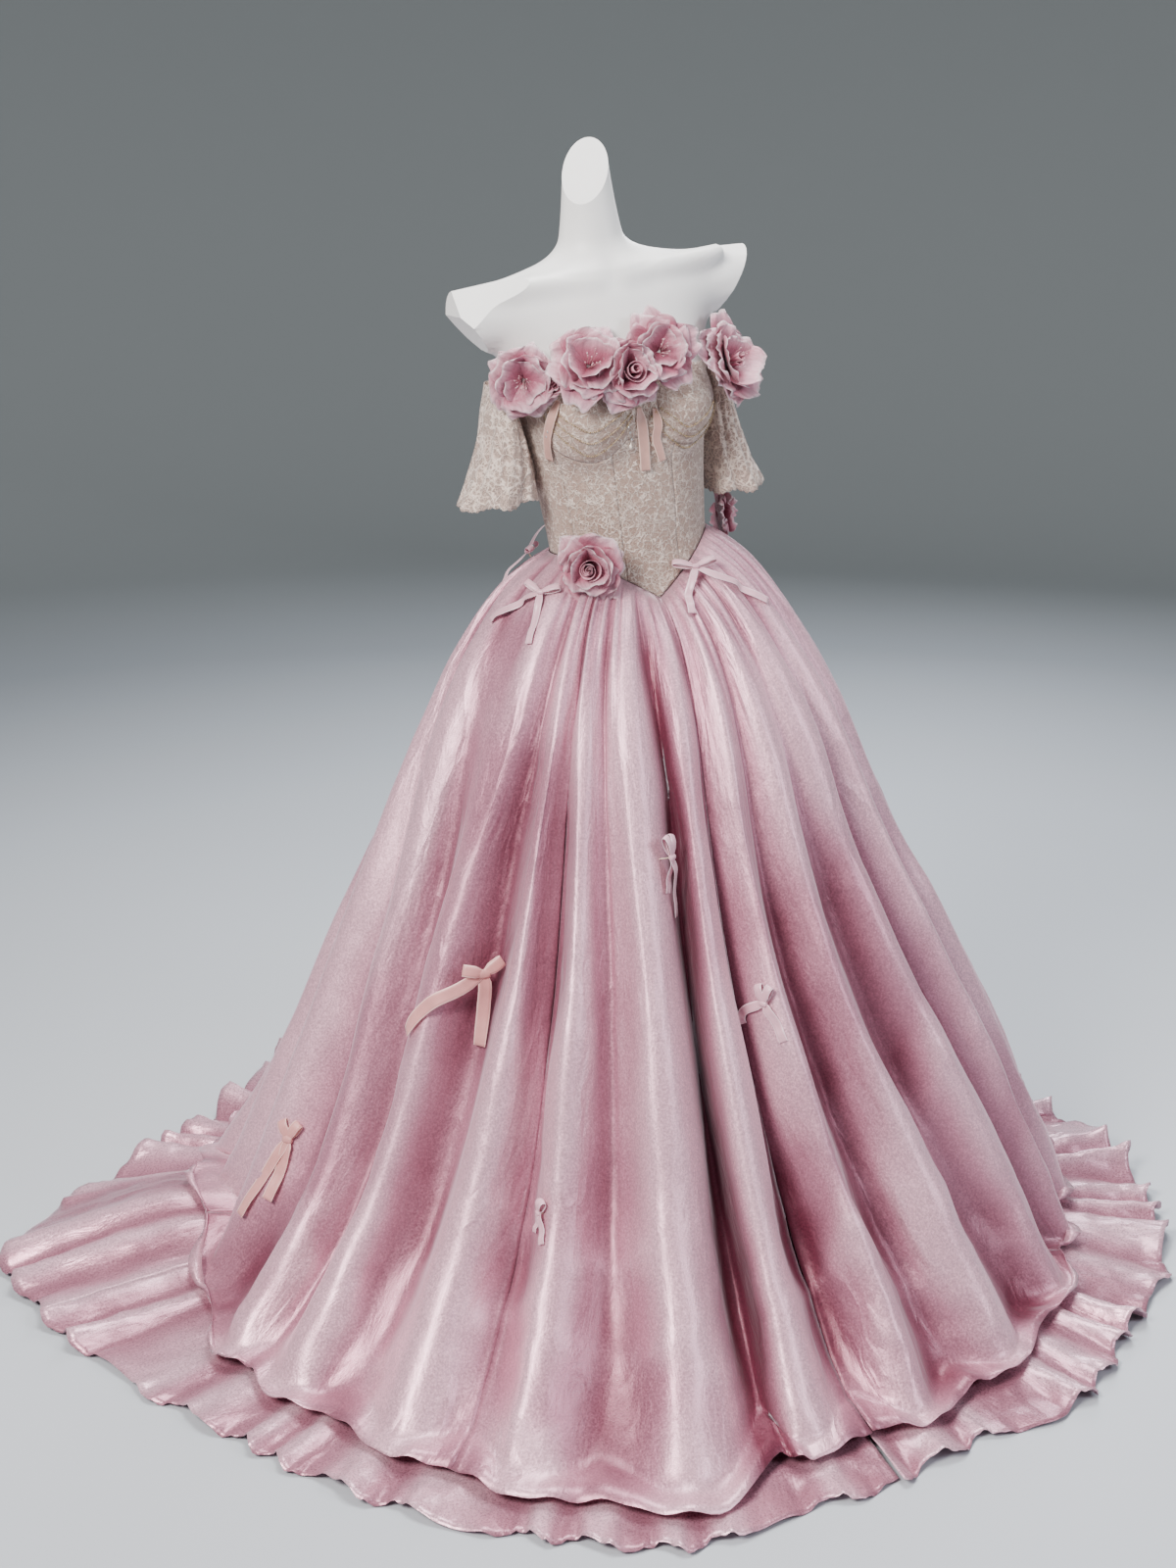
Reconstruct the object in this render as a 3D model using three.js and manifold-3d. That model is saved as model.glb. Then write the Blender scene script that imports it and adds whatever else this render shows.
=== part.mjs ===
// Evening gown on a dress form, in millimetres. +Z is up and the front of the gown faces -Y.
// Angles run round the gown from the front (0 degrees) towards +X (90 degrees).
import * as THREE from "three";
import Module from "manifold-3d";

const wasm = await Module();
wasm.setup();

const DEG = Math.PI / 180;

// Colours of the materials
const COLOURS = {
  form: "#f0efec",
  lace: "#c9b294",
  satin: "#c78e9a",
  underlayer: "#c993a0",
  petals: "#d99aa6",
  ribbon: "#d8a3ac",
  organza: "#dca79f",
  stand: "#d9d9d9",
};

// Lean of the upper body: the middle line turns by the angle between two heights and stays straight above
const LEAN = { from: 780, over: 300, angle: 7.5, shift: -20 };

// Stand
const BASE = { radius: 170, edge: 14, top: 20, sides: 20 };
const POLE = { radius: 17, foot: 20.3, head: 789.7, sides: 10 };

// Torso of the form: half width, depth to the front and depth to the back at each height
const TORSO = [
  { z: 790, half: 160, front: 96, back: 118 },
  { z: 860, half: 166, front: 104, back: 124 },
  { z: 930, half: 156, front: 104, back: 112 },
  { z: 1000, half: 128, front: 94, back: 88 },
  { z: 1060, half: 113, front: 87, back: 75 },
  { z: 1120, half: 117, front: 91, back: 80 },
  { z: 1180, half: 124, front: 92, back: 90 },
  { z: 1240, half: 133, front: 92, back: 98 },
  { z: 1300, half: 143, front: 88, back: 100 },
  { z: 1350, half: 148, front: 78, back: 92 },
  { z: 1400, half: 140, front: 62, back: 76 },
  { z: 1440, half: 104, front: 40, back: 54 },
  { z: 1480, half: 40, front: 24, back: 36 },
];
const BUST = { x: 62, y: -56, z: 1250, wide: 60, deep: 56, high: 62, soft: 26 };
const SHOULDER = { half: 252, y: 10, z: 1394, radius: 42, soft: 46 };
const COLLARBONE = { inner: 26, outer: 168, y: -42, zInner: 1430, zOuter: 1436, radius: 11, soft: 22 };
const NECK = [
  { z: 1380, y: 16, radius: 66 },
  { z: 1440, y: 12, radius: 56 },
  { z: 1480, y: 6, radius: 44 },
  { z: 1530, y: 0, radius: 36 },
  { z: 1580, y: -6, radius: 31 },
  { z: 1660, y: -12, radius: 29 },
];
const NECK_SOFT = 34;
const PRESS = { from: 1100, to: 1330, depth: 2.4 };
const MIDDLE_Y = 8;

// Flat cuts of the form: a point on the cut and the direction it faces, in turn and rise
const CUTS = [
  { name: "right arm", x: -192, y: 0, z: 1385, turn: -90, rise: -34 },
  { name: "left arm", x: 192, y: 0, z: 1385, turn: 90, rise: -34 },
  { name: "neck", x: 0, y: -4, z: 1572, turn: -34, rise: 36 },
];

// Rays that find the form's surface: height of the start and rise of the ray
const FORM_ROWS = [
  { z: 790, rise: 0 },
  { z: 900, rise: 0 },
  { z: 990, rise: 0 },
  { z: 1030, rise: 0 },
  { z: 1070, rise: 0 },
  { z: 1115, rise: 0 },
  { z: 1160, rise: 0 },
  { z: 1195, rise: 0 },
  { z: 1222, rise: 0 },
  { z: 1248, rise: 0 },
  { z: 1274, rise: 0 },
  { z: 1300, rise: 0 },
  { z: 1326, rise: 0 },
  { z: 1350, rise: 3 },
  { z: 1366, rise: 7 },
  { z: 1380, rise: 13 },
  { z: 1394, rise: 21 },
  { z: 1408, rise: 31 },
  { z: 1430, rise: 33 },
  { z: 1456, rise: 20 },
  { z: 1492, rise: 4 },
  { z: 1540, rise: 0 },
  { z: 1640, rise: 0 },
];
const HALF_ANGLES = [0, 12, 24, 36, 48, 60, 70, 78, 84, 90, 96, 102, 111, 121, 132, 144, 156, 168];
const FORM_ANGLES = [...HALF_ANGLES, 180, ...HALF_ANGLES.slice(1).reverse().map((a) => 360 - a)];

// Bodice: clearance over the form, cloth wall and the lines of the cut
const BODICE = { clear: 1.1, wall: 1.6, seamGap: 0.09, top: 1322, sideTop: 1300, backTop: 1284 };
const WAIST = { side: 1062, point: 992, reach: 64, shape: 1.2 };
const CUP = { low: 1194, inner: 1218, side: 1222, seam: 60, middle: 12, gap: 0.35 };
const PANELS = [
  { name: "bodice_front_centre", from: -24, to: 24, low: "waist", high: "cup", rows: 8 },
  { name: "bodice_front_right", from: -60, to: -24, low: "waist", high: "cup", rows: 7 },
  { name: "bodice_front_left", from: 24, to: 60, low: "waist", high: "cup", rows: 7 },
  { name: "bodice_cup_right", from: -60, to: -12, low: "cup", high: "neckline", rows: 8 },
  { name: "bodice_cup_left", from: 12, to: 60, low: "cup", high: "neckline", rows: 8 },
  { name: "bodice_bridge", from: -12, to: 12, low: "cup", high: "neckline", rows: 7 },
  { name: "bodice_side_right", from: -111, to: -60, low: "waist", high: "neckline", rows: 10 },
  { name: "bodice_side_left", from: 60, to: 111, low: "waist", high: "neckline", rows: 10 },
  { name: "bodice_back_right", from: -176, to: -111, low: "waist", high: "neckline", rows: 6 },
  { name: "bodice_back_left", from: 111, to: 176, low: "waist", high: "neckline", rows: 6 },
  { name: "bodice_back_placket", from: 176, to: 184, low: "waist", high: "neckline", rows: 6 },
];

// Sleeves: middle line, half width and half depth from the armband down to the cuff
const SLEEVE = [
  { z: 1306, x: 158, y: 10, wide: 13, deep: 46 },
  { z: 1272, x: 163, y: 9, wide: 20, deep: 50 },
  { z: 1232, x: 165, y: 8, wide: 30, deep: 54 },
  { z: 1188, x: 172, y: 8, wide: 43, deep: 58 },
  { z: 1150, x: 183, y: 8, wide: 54, deep: 63 },
];
const SLEEVE_SIDES = {
  right: { stretch: 1, spread: 1, inner: 126 },
  left: { stretch: 1.28, spread: 0.8, inner: 126 },
};
const SLEEVE_CUT = { sides: 18, wall: 1.5, clear: 1.1, waves: 6, wave: 5, dip: 6 };

// Skirt: radius of the fold tops and depth of the folds down the skirt.
// run is 1 at the waist and 0 at the floor.
const SKIRT_PROFILE = [
  { run: 1.0, flare: 0, depth: 0, gather: 0 },
  { run: 0.985, flare: 26, depth: 3, gather: 2.4 },
  { run: 0.955, flare: 66, depth: 9, gather: 3 },
  { run: 0.9, flare: 112, depth: 15, gather: 2.2 },
  { run: 0.79, flare: 178, depth: 25, gather: 0.6 },
  { run: 0.64, flare: 251, depth: 38, gather: 0 },
  { run: 0.48, flare: 334, depth: 52, gather: 0 },
  { run: 0.325, flare: 411, depth: 62, gather: 0 },
  { run: 0.19, flare: 492, depth: 64, gather: 0 },
  { run: 0.09, flare: 566, depth: 58, gather: 0 },
  { run: 0.0, flare: 640, depth: 30, gather: 0 },
];
const SKIRT = { runs: [1, 0.985, 0.95, 0.87, 0.72, 0.54, 0.36, 0.2, 0.085, 0], waistClear: 3.8, wall: 1.2 };

const SKIRT_MIDDLE = [
  { z: 0, x: 0 },
  { z: 250, x: -8 },
  { z: 500, x: -20 },
  { z: 750, x: -31 },
  { z: 900, x: -33 },
  { z: 1000, x: -32 },
  { z: 1070, x: -38 },
];

// Folds of the skirt: angle of each fold top at the waist, half way and near the hem,
// then the valley that follows it: its depth, how narrow it is and where it lies between the two folds
const FOLDS = [
  { name: "H", top: 8, mid: 4, low: 7, valley: 0.8, narrow: 1.0, at: 0.5 },
  { name: "I", top: 22, mid: 17, low: 21, valley: 0.7, narrow: 1.2, at: 0.5 },
  { name: "J", top: 36, mid: 35, low: 40, valley: 0.55, narrow: 1.5, at: 0.6 },
  { name: "K", top: 50, mid: 50, low: 52, valley: 0.9, narrow: 1.2, at: 0.5 },
  { name: "L", top: 64, mid: 63, low: 64, valley: 0.8, narrow: 1.0, at: 0.5 },
  { name: "M", top: 78, mid: 77, low: 77, valley: 0.9, narrow: 1.1, at: 0.45 },
  { name: "N", top: 92, mid: 91, low: 92, valley: 0.75, narrow: 1.0, at: 0.5 },
  { name: "O", top: 106, mid: 106, low: 107, valley: 1.0, narrow: 1.2, at: 0.55 },
  { name: "P", top: 119, mid: 120, low: 121, valley: 0.8, narrow: 1.0, at: 0.5 },
  { name: "Q", top: 132, mid: 134, low: 135, valley: 0.9, narrow: 1.3, at: 0.5 },
  { name: "R", top: 145, mid: 147, low: 149, valley: 0.7, narrow: 1.0, at: 0.45 },
  { name: "S", top: 158, mid: 160, low: 163, valley: 1.0, narrow: 1.1, at: 0.5 },
  { name: "T", top: 171, mid: 173, low: 176, valley: 0.8, narrow: 1.0, at: 0.5 },
  { name: "U", top: 184, mid: 187, low: 190, valley: 0.9, narrow: 1.2, at: 0.55 },
  { name: "V", top: 197, mid: 201, low: 204, valley: 0.8, narrow: 1.0, at: 0.5 },
  { name: "W", top: 210, mid: 215, low: 218, valley: 1.0, narrow: 1.1, at: 0.5 },
  { name: "X", top: 223, mid: 228, low: 231, valley: 0.8, narrow: 1.0, at: 0.45 },
  { name: "Y", top: 236, mid: 241, low: 244, valley: 0.9, narrow: 1.2, at: 0.5 },
  { name: "Z", top: 248, mid: 254, low: 257, valley: 0.7, narrow: 1.0, at: 0.5 },
  { name: "A", top: 259, mid: 268, low: 271, valley: 0.45, narrow: 1.2, at: 0.55 },
  { name: "B", top: 271, mid: 283, low: 287, valley: 0.55, narrow: 1.5, at: 0.45 },
  { name: "C", top: 305, mid: 298, low: 297, valley: 0.7, narrow: 1.2, at: 0.5 },
  { name: "D", top: 316, mid: 315, low: 312, valley: 0.65, narrow: 1.0, at: 0.5 },
  { name: "E", top: 322, mid: 325, low: 325, valley: 0.6, narrow: 1.0, at: 0.5 },
  { name: "F", top: 334, mid: 339, low: 340, valley: 1.55, narrow: 2.0, at: 0.74 },
  { name: "G", top: 354, mid: 352, low: 353, valley: 1.1, narrow: 1.1, at: 0.5 },
];
const FOLD_STEPS = [0, 0.18, 0.36, 0.5, 0.64, 0.82];

// Gores of the skirt: each runs from the valley after one fold to the valley after another
const GORES = [
  { name: "skirt_gore_front_right", first: 23, last: 25 },
  { name: "skirt_gore_front_left", first: 0, last: 2 },
  { name: "skirt_gore_side_left", first: 3, last: 6 },
  { name: "skirt_gore_back_left", first: 7, last: 11 },
  { name: "skirt_gore_back_centre", first: 12, last: 15 },
  { name: "skirt_gore_back_right", first: 16, last: 18 },
  { name: "skirt_gore_side_right", first: 19, last: 22 },
];

// Hem of the skirt and edge of the flounce: radius at each angle, and how high the ruffles stand there
const SKIRT_HEM = [
  { angle: 0, radius: 740 },
  { angle: 14, radius: 722 },
  { angle: 35, radius: 690 },
  { angle: 58, radius: 640 },
  { angle: 90, radius: 640 },
  { angle: 120, radius: 672 },
  { angle: 180, radius: 720 },
  { angle: 240, radius: 705 },
  { angle: 264, radius: 690 },
  { angle: 289, radius: 765 },
  { angle: 302, radius: 775 },
  { angle: 327, radius: 815 },
  { angle: 341, radius: 828 },
  { angle: 352, radius: 745 },
  { angle: 360, radius: 740 },
];
const FLOUNCE_EDGE = [
  { angle: 0, radius: 792, ruffle: 14 },
  { angle: 12, radius: 765, ruffle: 18 },
  { angle: 20, radius: 800, ruffle: 22 },
  { angle: 36, radius: 775, ruffle: 26 },
  { angle: 52, radius: 795, ruffle: 34 },
  { angle: 77, radius: 790, ruffle: 48 },
  { angle: 90, radius: 770, ruffle: 48 },
  { angle: 115, radius: 815, ruffle: 44 },
  { angle: 145, radius: 900, ruffle: 36 },
  { angle: 180, radius: 975, ruffle: 34 },
  { angle: 205, radius: 870, ruffle: 40 },
  { angle: 222, radius: 778, ruffle: 46 },
  { angle: 239, radius: 812, ruffle: 48 },
  { angle: 250, radius: 898, ruffle: 42 },
  { angle: 260, radius: 975, ruffle: 28 },
  { angle: 267, radius: 945, ruffle: 22 },
  { angle: 283, radius: 878, ruffle: 20 },
  { angle: 298, radius: 842, ruffle: 18 },
  { angle: 313, radius: 852, ruffle: 16 },
  { angle: 327, radius: 858, ruffle: 12 },
  { angle: 339, radius: 866, ruffle: 12 },
  { angle: 349, radius: 815, ruffle: 12 },
  { angle: 360, radius: 792, ruffle: 14 },
];

// Underskirt and its flounce
const UNDERSKIRT_PROFILE = [
  { run: 1.0, flare: 0 },
  { run: 0.94, flare: 34 },
  { run: 0.78, flare: 108 },
  { run: 0.45, flare: 240 },
  { run: 0.104, flare: 380 },
];
const UNDERSKIRT = { drop: 5, clear: 0.5, wall: 1.2 };
const FLOUNCE = {
  top: 109.4,
  middle: 120,
  middleZ: 42,
  floor: 0.6,
  wall: 1.2,
  waves: 52,
  steps: 3,
  seam: 0.006,
  curl: 8,
  gap: 5,
};
const CREST = { angle: 257, spread: 11, height: 74, from: 560, to: 985 };

// Flowers: place on the bodice or skirt, size over the petals, stand-off,
// turn of the petals and turn of the face.
const FLOWERS = [
  { name: "flower_neck_1", angle: -68, z: 1318, size: 92, out: 26, spin: 10, face: 20 },
  { name: "flower_neck_bud", angle: -52, z: 1300, size: 46, out: 12, spin: 40, face: 8 },
  { name: "flower_neck_2", angle: -35, z: 1316, size: 104, out: 18, spin: 0, face: 4 },
  { name: "flower_neck_3", angle: -9, z: 1302, size: 90, out: 8, spin: 25, face: 0 },
  { name: "flower_neck_4", angle: 20, z: 1322, size: 98, out: 22, spin: 50, face: -14 },
  { name: "flower_neck_5", angle: 60, z: 1290, size: 118, out: 30, spin: 15, face: -30 },
  { name: "flower_waist_front", angle: -46, z: 1056, size: 88, out: 40, spin: 30, face: 8 },
  { name: "flower_waist_side", angle: 93, z: 1060, size: 84, out: 42, root: 9, spin: 0, face: 0 },
];
const PETAL = { lobes: 5, sides: 15, heartSides: 9, wall: 1.2, hollow: 0.34, heart: 0.42 };

// Bows: place, size of a loop, width of the ribbon and the ends of the two tails
const BOWS = [
  {
    name: "bow_waist_left", angle: 27, z: 1022,
    loop: 32, width: 9, stand: 14, loopA: 168, loopB: 24,
    a: [-34, -50], b: [44, -44],
  },
  {
    name: "bow_waist_right", angle: -64, z: 1002,
    loop: 28, width: 9, stand: 8, loopA: 150, loopB: 20,
    a: [-58, -44], b: [14, -60],
  },
  {
    name: "bow_waist_back", angle: -112, z: 1030,
    loop: 28, width: 9, stand: 10, loopA: 160, loopB: 30,
    a: [-44, 10], b: [16, -56], free: [-52, 26, 16],
  },
  {
    name: "bow_skirt_front", angle: -17, z: 684,
    loop: 26, width: 11, stand: 22, loopA: 125, loopB: 55,
    a: [14, -80], b: [4, -44],
  },
  {
    name: "bow_skirt_fold", angle: 2, z: 500,
    loop: 24, width: 11, stand: 11, loopA: 130, loopB: 50,
    a: [-26, -40], b: [8, -46],
  },
  {
    name: "bow_skirt_organza_1", angle: -56, z: 524,
    loop: 30, width: 16, stand: 20, loopA: 165, loopB: 30,
    a: [-58, -80], b: [14, -96], organza: true,
  },
  {
    name: "bow_skirt_organza_2", angle: -86, z: 236,
    loop: 28, width: 15, stand: 7, loopA: 120, loopB: 60,
    a: [-10, -110], b: [14, -80], organza: true,
  },
  {
    name: "bow_skirt_hem", angle: -37, z: 264,
    loop: 16, width: 9, stand: 10, loopA: 135, loopB: 45,
    a: [6, -30], b: [-8, -26],
  },
];
const POST = { flower: 4.5, bow: 2.2, gap: 0.35, longest: 60 };
const RIBBON_WALL = 1.1;
const TAIL_CLEAR = 9;
const STREAMER_SEAT = 1.4;

// Ribbon ends that hang over the bodice: angle and height of the points along each one
const STREAMERS = [
  {
    name: "streamer_centre",
    width: 15,
    angles: [-1, 0, 1, 0, -1],
    heights: [1258, 1236, 1214, 1192, 1172],
    out: 5,
  },
  {
    name: "streamer_centre_2",
    width: 12,
    angles: [11, 12, 11, 13, 14],
    heights: [1254, 1234, 1214, 1196, 1180],
    out: 5,
  },
  {
    name: "streamer_right",
    width: 15,
    angles: [-50, -53, -58, -61, -64],
    heights: [1284, 1262, 1240, 1222, 1204],
    out: 5,
  },
];

// Smooth curve through one column of a table
function curve(table, along, across) {
  const x = table.map((r) => r[along]);
  const y = table.map((r) => r[across]);
  const up = x[x.length - 1] > x[0];
  const xs = up ? x : x.slice().reverse();
  const ys = up ? y : y.slice().reverse();
  const n = xs.length;
  const step = xs.slice(1).map((v, i) => (ys[i + 1] - ys[i]) / (v - xs[i]));
  const slope = ys.map((v, i) => {
    if (i === 0) return step[0];
    if (i === n - 1) return step[n - 2];
    return step[i - 1] * step[i] <= 0 ? 0 : (2 * step[i - 1] * step[i]) / (step[i - 1] + step[i]);
  });
  return (at) => {
    if (at <= xs[0]) return ys[0];
    if (at >= xs[n - 1]) return ys[n - 1];
    let i = 0;
    while (at > xs[i + 1]) i += 1;
    const w = xs[i + 1] - xs[i];
    const u = (at - xs[i]) / w;
    const a = ys[i] * (1 + 2 * u) * (1 - u) * (1 - u) + slope[i] * w * u * (1 - u) * (1 - u);
    return a + ys[i + 1] * u * u * (3 - 2 * u) - slope[i + 1] * w * u * u * (1 - u);
  };
}

const clamp = (v, lo, hi) => Math.min(hi, Math.max(lo, v));
const mix = (a, b, t) => a + (b - a) * t;
const ease = (t) => t * t * (3 - 2 * t);
const turn = (angle) => ((angle % 360) + 360) % 360;

// Body place to gown place: the lean of the upper body
function lean(p) {
  const u = clamp((p[2] - LEAN.from) / LEAN.over, 0, 1);
  const past = Math.max(0, p[2] - LEAN.from - LEAN.over);
  const angle = LEAN.angle * DEG * ease(u);
  const far = LEAN.over * (u ** 3 - u ** 4 / 2) + past;
  const cx = LEAN.shift - Math.sin(LEAN.angle * DEG) * far;
  const cz = p[2] - (1 - Math.cos(LEAN.angle * DEG)) * far;
  return [cx + p[0] * Math.cos(angle), p[1], cz + p[0] * Math.sin(angle)];
}

// Form
const torsoHalf = curve(TORSO, "z", "half");
const torsoFront = curve(TORSO, "z", "front");
const torsoBack = curve(TORSO, "z", "back");
const neckY = curve(NECK, "z", "y");
const neckRadius = curve(NECK, "z", "radius");

function blend(a, b, soft) {
  const h = clamp(0.5 + (0.5 * (b - a)) / soft, 0, 1);
  return mix(b, a, h) - soft * h * (1 - h);
}

function rod(p, a, b, radius) {
  const d = [b[0] - a[0], b[1] - a[1], b[2] - a[2]];
  const q = [p[0] - a[0], p[1] - a[1], p[2] - a[2]];
  const t = clamp((q[0] * d[0] + q[1] * d[1] + q[2] * d[2]) / (d[0] ** 2 + d[1] ** 2 + d[2] ** 2), 0, 1);
  return Math.hypot(q[0] - d[0] * t, q[1] - d[1] * t, q[2] - d[2] * t) - radius;
}

// Distance from the form's skin, in the body's own upright frame
function formField(p) {
  const [x, y, z] = p;
  const a = torsoHalf(z);
  const b = y < 0 ? torsoFront(z) : torsoBack(z);
  const q = Math.max(1e-3, Math.hypot(x / a, y / b));
  let f = ((q - 1) * q) / Math.max(1e-6, Math.hypot(x / a / a, y / b / b));
  if (z > 1440) f += (z - 1440) * 0.9;
  const side = Math.abs(x);
  const bx = (side - BUST.x) / BUST.wide;
  const by = (y - BUST.y) / BUST.deep;
  const bz = (z - BUST.z) / BUST.high;
  const e = Math.hypot(bx, by, bz);
  const grad = Math.max(1e-6, Math.hypot(bx / BUST.wide, by / BUST.deep, bz / BUST.high) / Math.max(e, 1e-3));
  f = blend(f, (e - 1) / grad, BUST.soft);
  const s = SHOULDER;
  f = blend(f, rod([side, y, z], [0, s.y, s.z + 14], [s.half, s.y, s.z], s.radius), s.soft);
  const c = COLLARBONE;
  f = blend(f, rod([side, y, z], [c.inner, c.y, c.zInner], [c.outer, c.y + 14, c.zOuter], c.radius), c.soft);
  const neck = Math.hypot(x, y - neckY(z)) - neckRadius(z);
  return blend(f, neck, NECK_SOFT);
}

// Point of the form's skin, moved out by a clearance, on a ray from its middle line
function formPoint(angle, z, rise = 0, out = 0) {
  const y = z > 1400 ? neckY(z) : MIDDLE_Y;
  const flat = Math.cos(rise * DEG);
  const d = [Math.sin(angle * DEG) * flat, -Math.cos(angle * DEG) * flat, Math.sin(rise * DEG)];
  const at = (t) => [d[0] * t, y + d[1] * t, z + d[2] * t];
  let lo = 8;
  let hi = 8;
  while (hi < 330 && formField(at(hi)) < out) {
    lo = hi;
    hi += 4;
  }
  for (let i = 0; i < 24; i += 1) {
    const m = (lo + hi) / 2;
    if (formField(at(m)) < out) lo = m;
    else hi = m;
  }
  return at(lo);
}

// Outward direction of the form's skin
function formNormal(p) {
  const e = 0.5;
  const d = [0, 1, 2].map((k) => {
    const q = p.slice();
    const r = p.slice();
    q[k] += e;
    r[k] -= e;
    return formField(q) - formField(r);
  });
  const size = Math.hypot(...d);
  return d.map((c) => c / size);
}

const formRows = FORM_ROWS.map((r) => FORM_ANGLES.map((a) => formPoint(a, r.z, r.rise)));

// Point on the flat faces of the form's skin, moved out by a clearance, at a turn and a height of the torso
function skinPoint(angle, z, out = 0) {
  const a = turn(angle);
  let i = 0;
  while (i + 2 < FORM_ROWS.length && FORM_ROWS[i + 1].z <= z) i += 1;
  let j = FORM_ANGLES.length - 1;
  while (FORM_ANGLES[j] > a) j -= 1;
  const next = (j + 1) % FORM_ANGLES.length;
  const corner = [formRows[i][j], formRows[i][next], formRows[i + 1][next], formRows[i + 1][j]];
  const d = [Math.sin(a * DEG), -Math.cos(a * DEG)];
  const reach = (p, q, r) => {
    const u = [0, 1, 2].map((k) => q[k] - p[k]);
    const v = [0, 1, 2].map((k) => r[k] - p[k]);
    const n = [u[1] * v[2] - u[2] * v[1], u[2] * v[0] - u[0] * v[2], u[0] * v[1] - u[1] * v[0]];
    return (n[0] * p[0] + n[1] * (p[1] - MIDDLE_Y) + n[2] * (p[2] - z)) / (n[0] * d[0] + n[1] * d[1]);
  };
  const low = reach(corner[0], corner[1], corner[2]);
  const high = reach(corner[0], corner[2], corner[3]);
  const across = angleShare(a, j, next);
  const along = (z - FORM_ROWS[i].z) / (FORM_ROWS[i + 1].z - FORM_ROWS[i].z);
  const r = across >= along ? low : high;
  const skin = [d[0] * r, MIDDLE_Y + d[1] * r, z];
  const n = formNormal(skin);
  const k = r + out / Math.max(0.6, n[0] * d[0] + n[1] * d[1]);
  return [d[0] * k, MIDDLE_Y + d[1] * k, z];
}

function angleShare(a, j, next) {
  const from = FORM_ANGLES[j];
  const to = next === 0 ? 360 : FORM_ANGLES[next];
  return (a - from) / (to - from);
}

// Mesh from points and triangles
function geometryOf(points, triangles) {
  const g = new THREE.BufferGeometry();
  g.setAttribute("position", new THREE.BufferAttribute(new Float32Array(points.flat()), 3));
  g.setIndex(triangles.flat());
  return g;
}

// Solid from points and triangles, for joining and cutting
function solidOf(points, triangles) {
  const vertProperties = new Float32Array(points.flat());
  const triVerts = new Uint32Array(triangles.flat());
  return new wasm.Manifold(new wasm.Mesh({ numProp: 3, vertProperties, triVerts }));
}

// Mesh of a solid, moved by a rule
function meshOf(solid, move = (p) => p) {
  const m = solid.getMesh();
  const points = [];
  for (let i = 0; i < m.numVert; i += 1) {
    points.push(move([...m.vertProperties.slice(i * m.numProp, i * m.numProp + 3)]));
  }
  return geometryOf(points, [...m.triVerts]);
}

// Rows of points closed round, with a flat end at each side
function barrel(rows) {
  const n = rows[0].length;
  const points = rows.flat();
  const triangles = [];
  for (let i = 0; i + 1 < rows.length; i += 1) {
    for (let j = 0; j < n; j += 1) {
      const a = i * n + j;
      const b = i * n + ((j + 1) % n);
      triangles.push([a, b, b + n], [a, b + n, a + n]);
    }
  }
  const mean = (row) => [0, 1, 2].map((k) => row.reduce((s, p) => s + p[k], 0) / n);
  const low = points.push(mean(rows[0])) - 1;
  const high = points.push(mean(rows[rows.length - 1])) - 1;
  const last = (rows.length - 1) * n;
  for (let j = 0; j < n; j += 1) {
    triangles.push([low, (j + 1) % n, j], [high, last + j, last + ((j + 1) % n)]);
  }
  return { points, triangles };
}

// Wall between an outer and an inner sheet of points; rows run up, columns run round towards +X
function wall(outer, inner, closed = false) {
  const rows = outer.length;
  const n = outer[0].length;
  const points = [...outer.flat(), ...inner.flat()];
  const half = rows * n;
  const triangles = [];
  const quad = (a, b, c, d) => triangles.push([a, b, c], [a, c, d]);
  const wide = closed ? n : n - 1;
  for (let i = 0; i + 1 < rows; i += 1) {
    for (let j = 0; j < wide; j += 1) {
      const a = i * n + j;
      const b = i * n + ((j + 1) % n);
      quad(a, b, b + n, a + n);
      quad(half + a, half + a + n, half + b + n, half + b);
    }
  }
  for (let j = 0; j < wide; j += 1) {
    const a = j;
    const b = (j + 1) % n;
    const c = (rows - 1) * n + a;
    const d = (rows - 1) * n + b;
    quad(b, a, half + a, half + b);
    quad(c, d, half + d, half + c);
  }
  if (!closed) {
    for (let i = 0; i + 1 < rows; i += 1) {
      const a = i * n;
      const b = a + n - 1;
      quad(a, a + n, half + a + n, half + a);
      quad(b + n, b, half + b, half + b + n);
    }
  }
  return { points, triangles };
}

// Sheet without its first and last columns, which only give the direction at the seams
const trimmed = (sheet) => sheet.map((row) => row.slice(1, -1));

// Inner sheet: each point of a sheet moved in along the sheet's own direction
function inwards(sheet, thick, closed = false) {
  const rows = sheet.length;
  const n = sheet[0].length;
  const column = (j) => (closed ? (j + n) % n : clamp(j, 0, n - 1));
  const v = (i, j) => new THREE.Vector3(...sheet[clamp(i, 0, rows - 1)][column(j)]);
  return sheet.map((row, i) =>
    row.map((p, j) => {
      const round = v(i, j + 1).sub(v(i, j - 1));
      const up = v(i + 1, j).sub(v(i - 1, j));
      const out = round.cross(up).normalize();
      return [p[0] - out.x * thick, p[1] - out.y * thick, p[2] - out.z * thick];
    }),
  );
}

const group = new THREE.Group();
const materials = {};
for (const [name, colour] of Object.entries(COLOURS)) {
  materials[name] = new THREE.MeshStandardMaterial({ color: colour, roughness: 0.6, side: THREE.DoubleSide });
}

function add(name, geometry, material) {
  const mesh = new THREE.Mesh(geometry, materials[material]);
  mesh.name = name;
  group.add(mesh);
}

// Stand
function disc(radiusTable, sides) {
  const rows = radiusTable.map(({ z, radius }) =>
    Array.from({ length: sides }, (_, j) => {
      const a = (j / sides) * 2 * Math.PI;
      return [radius * Math.sin(a), -radius * Math.cos(a), z];
    }),
  );
  return barrel(rows);
}

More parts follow.
